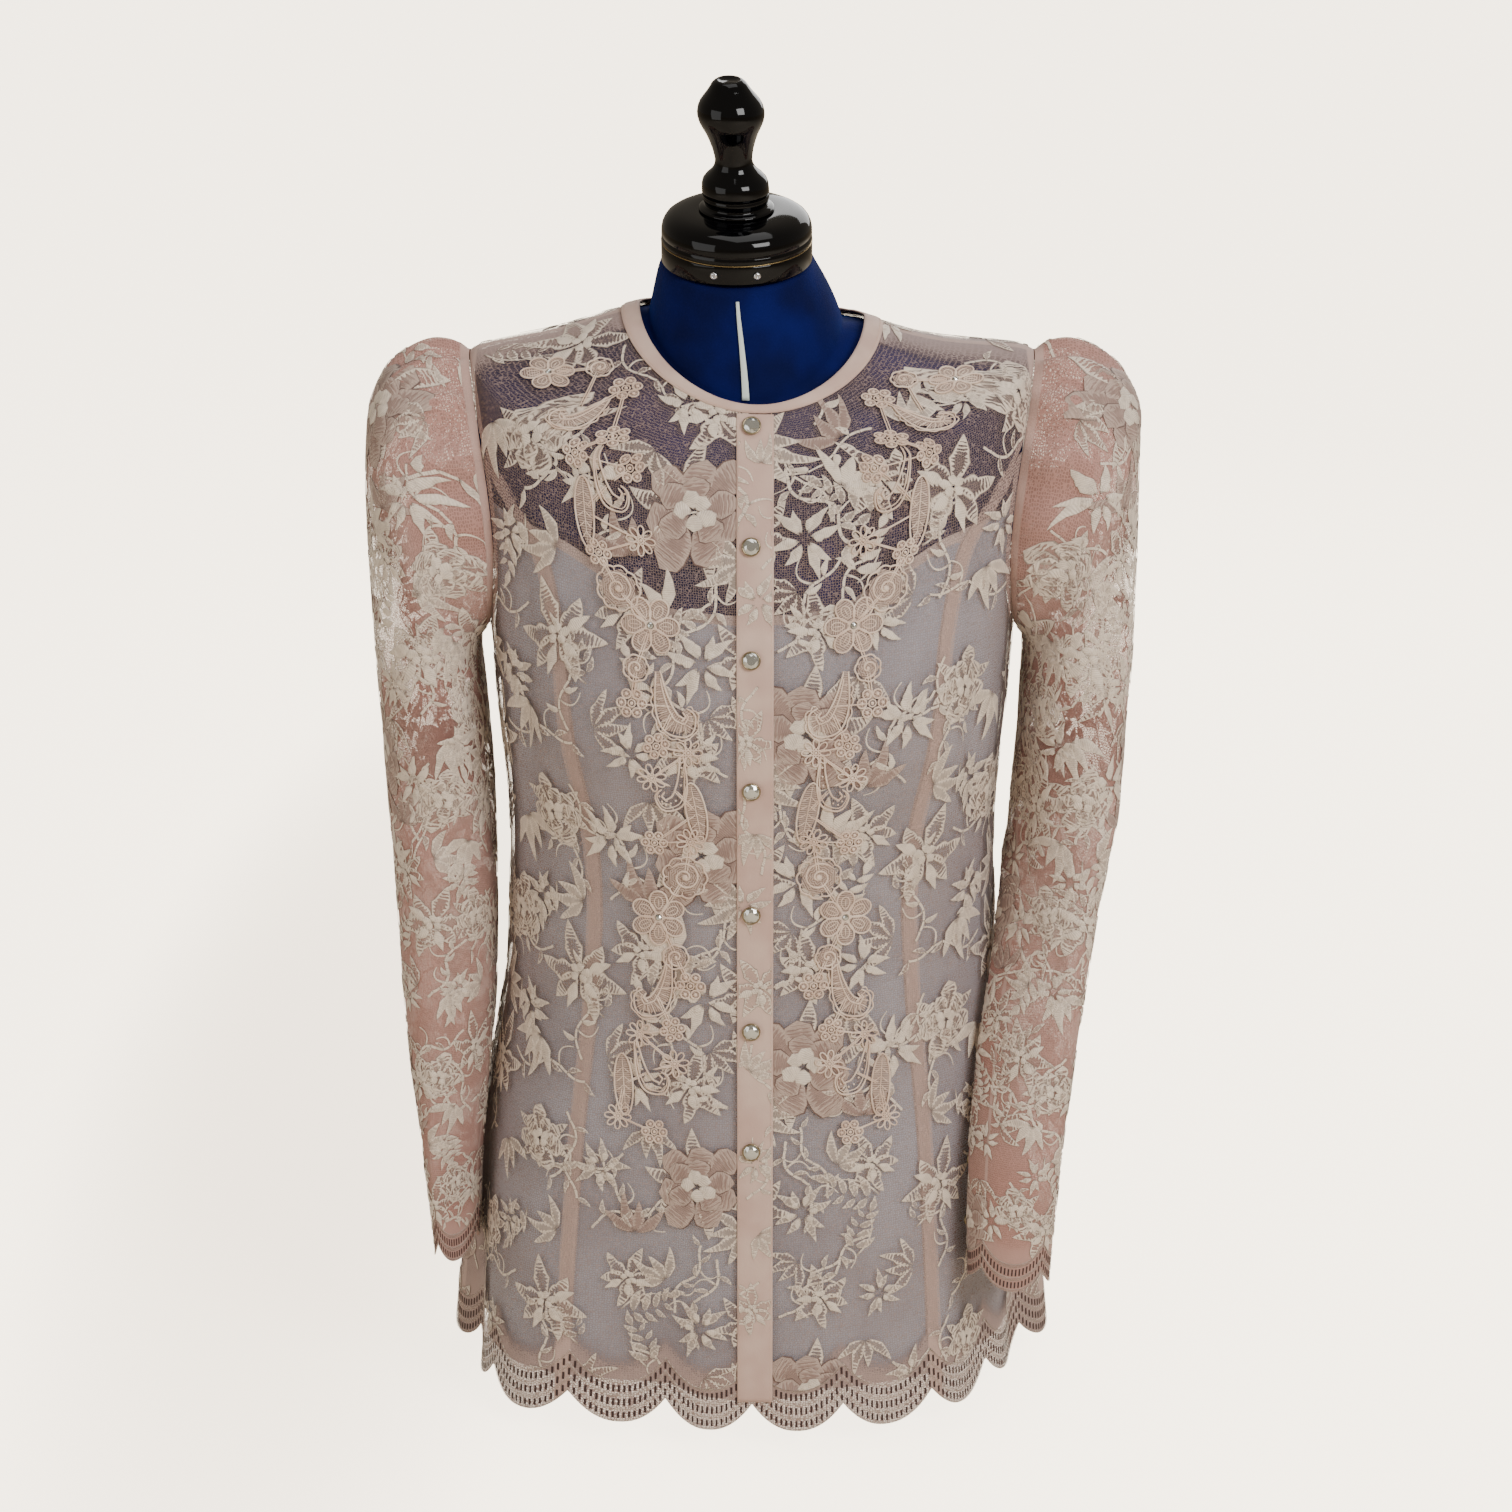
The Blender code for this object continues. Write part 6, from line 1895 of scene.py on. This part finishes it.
def makeStripAndFoot():
    share = np.linspace(0, 1, strip["steps"])
    rise, half = (first + (last - first) * share for first, last in (strip["rise"], strip["half"]))
    row = rowAt(neckRows, neckNames, rise)
    lean = np.stack([neckLean(rise), 0 * rise, 0 * rise], -1)
    rings = np.stack([
        tilted(sectionPoint(half * across, row), rise) + lean + (0, -out, 0) for across, out in stripProfile
    ], 1)
    settle(loft("gap_strip", rings, "strip"), ["form_gap_strip"])
    turn = np.linspace(0, 2 * np.pi, head["steps"], endpoint=False)
    rings = [np.stack([r * np.sin(turn), -r * np.cos(turn), z + 0 * turn], -1) for r, z in footProfile]
    settle(loft("round_foot", rings, "gloss"), ["form_foot"])


makeForm()
makeHead()
makeStripAndFoot()
say("dress form")


# Backdrop, light and camera
photo = {"wide": 1512, "focal": 3340, "centre": 752}  # pixels: width, focal length, middle of the lens
studio = {
    "camera": (0.0, -2.21, 1.15), "tilt": 17.4, "sensor": 36, "floor": 24.0, "floorZ": -0.0002, "glow": 5.0,
    "shadeAt": (-0.36, 0.60), "shadeHalf": (0.26, 1.30), "shade": 0.8, "world": 0.32, "aim": (0, 0, 0.45),
}
lamps = (  # name, place, size, power
    ("key", (1.5, -2.0, 1.9), 1.1, 54.0), ("fill", (-1.9, -1.6, 1.0), 1.6, 14.0),
    ("top", (0.2, -0.3, 2.6), 1.4, 13.0), ("back", (0.9, 2.3, 1.8), 1.6, 26.0),
)


def floorLook(tree):
    # Only the camera sees the floor glow, so that it doesn't light the cloth from below; the soft
    # shade of the photo lies on the left
    seen = addNode(tree, "ShaderNodeLightPath").out("Is Camera Ray")
    spot = addNode(tree, "ShaderNodeSeparateXYZ", {}, {0: place(tree)})
    (shadeX, shadeY), (halfX, halfY) = studio["shadeAt"], studio["shadeHalf"]
    wide = (spot.out("X") - shadeX) / halfX
    deep = (spot.out("Y") - shadeY) / halfY
    shade = 1 - (wide * wide + deep * deep).ramp(0.0, 1.0)
    return {
        "Base Color": (*colours["backdrop"], 1), "Roughness": 0.95,
        "Emission Color": mixColour(tree, shade * studio["shade"], colours["backdrop"], colours["backdropShade"]),
        "Emission Strength": seen * studio["glow"],
    }


def makeStudio():
    scene, wide = bpy.context.scene, studio["floor"]
    points = [(x, y, studio["floorZ"]) for y in (-wide, wide) for x in (-wide, wide)]
    looks["floor"] = material("pale floor", floorLook)
    meshFrom("floor", points, gridFaces(2, 2)[:, ::-1], "floor")
    scene.world = bpy.data.worlds.new("studio")
    scene.world.use_nodes = True
    tree = scene.world.node_tree
    backdrop = tree.nodes["Background"].inputs
    backdrop["Color"].default_value = (*colours["backdrop"], 1)
    seen = addNode(tree, "ShaderNodeLightPath").out("Is Camera Ray")
    strength = seen * (studio["glow"] - studio["world"]) + studio["world"]
    tree.links.new(strength.socket, backdrop["Strength"])
    for name, spot, size, power in lamps:
        light = bpy.data.lights.new(name, "AREA")
        light.size, light.energy = size, power
        lamp = addObject(name, light)
        lamp.location = spot
        lamp.rotation_euler = (Vector(studio["aim"]) - Vector(spot)).to_track_quat("-Z", "Y").to_euler()
    view = bpy.data.cameras.new("camera")
    view.lens = photo["focal"] / photo["wide"] * studio["sensor"]
    view.shift_x = (photo["wide"] / 2 - photo["centre"]) / photo["wide"]
    camera = addObject("camera", view)
    camera.location = studio["camera"]
    camera.rotation_euler = (math.radians(90 - studio["tilt"]), 0, 0)
    scene.camera = camera


makeStudio()
say("studio")
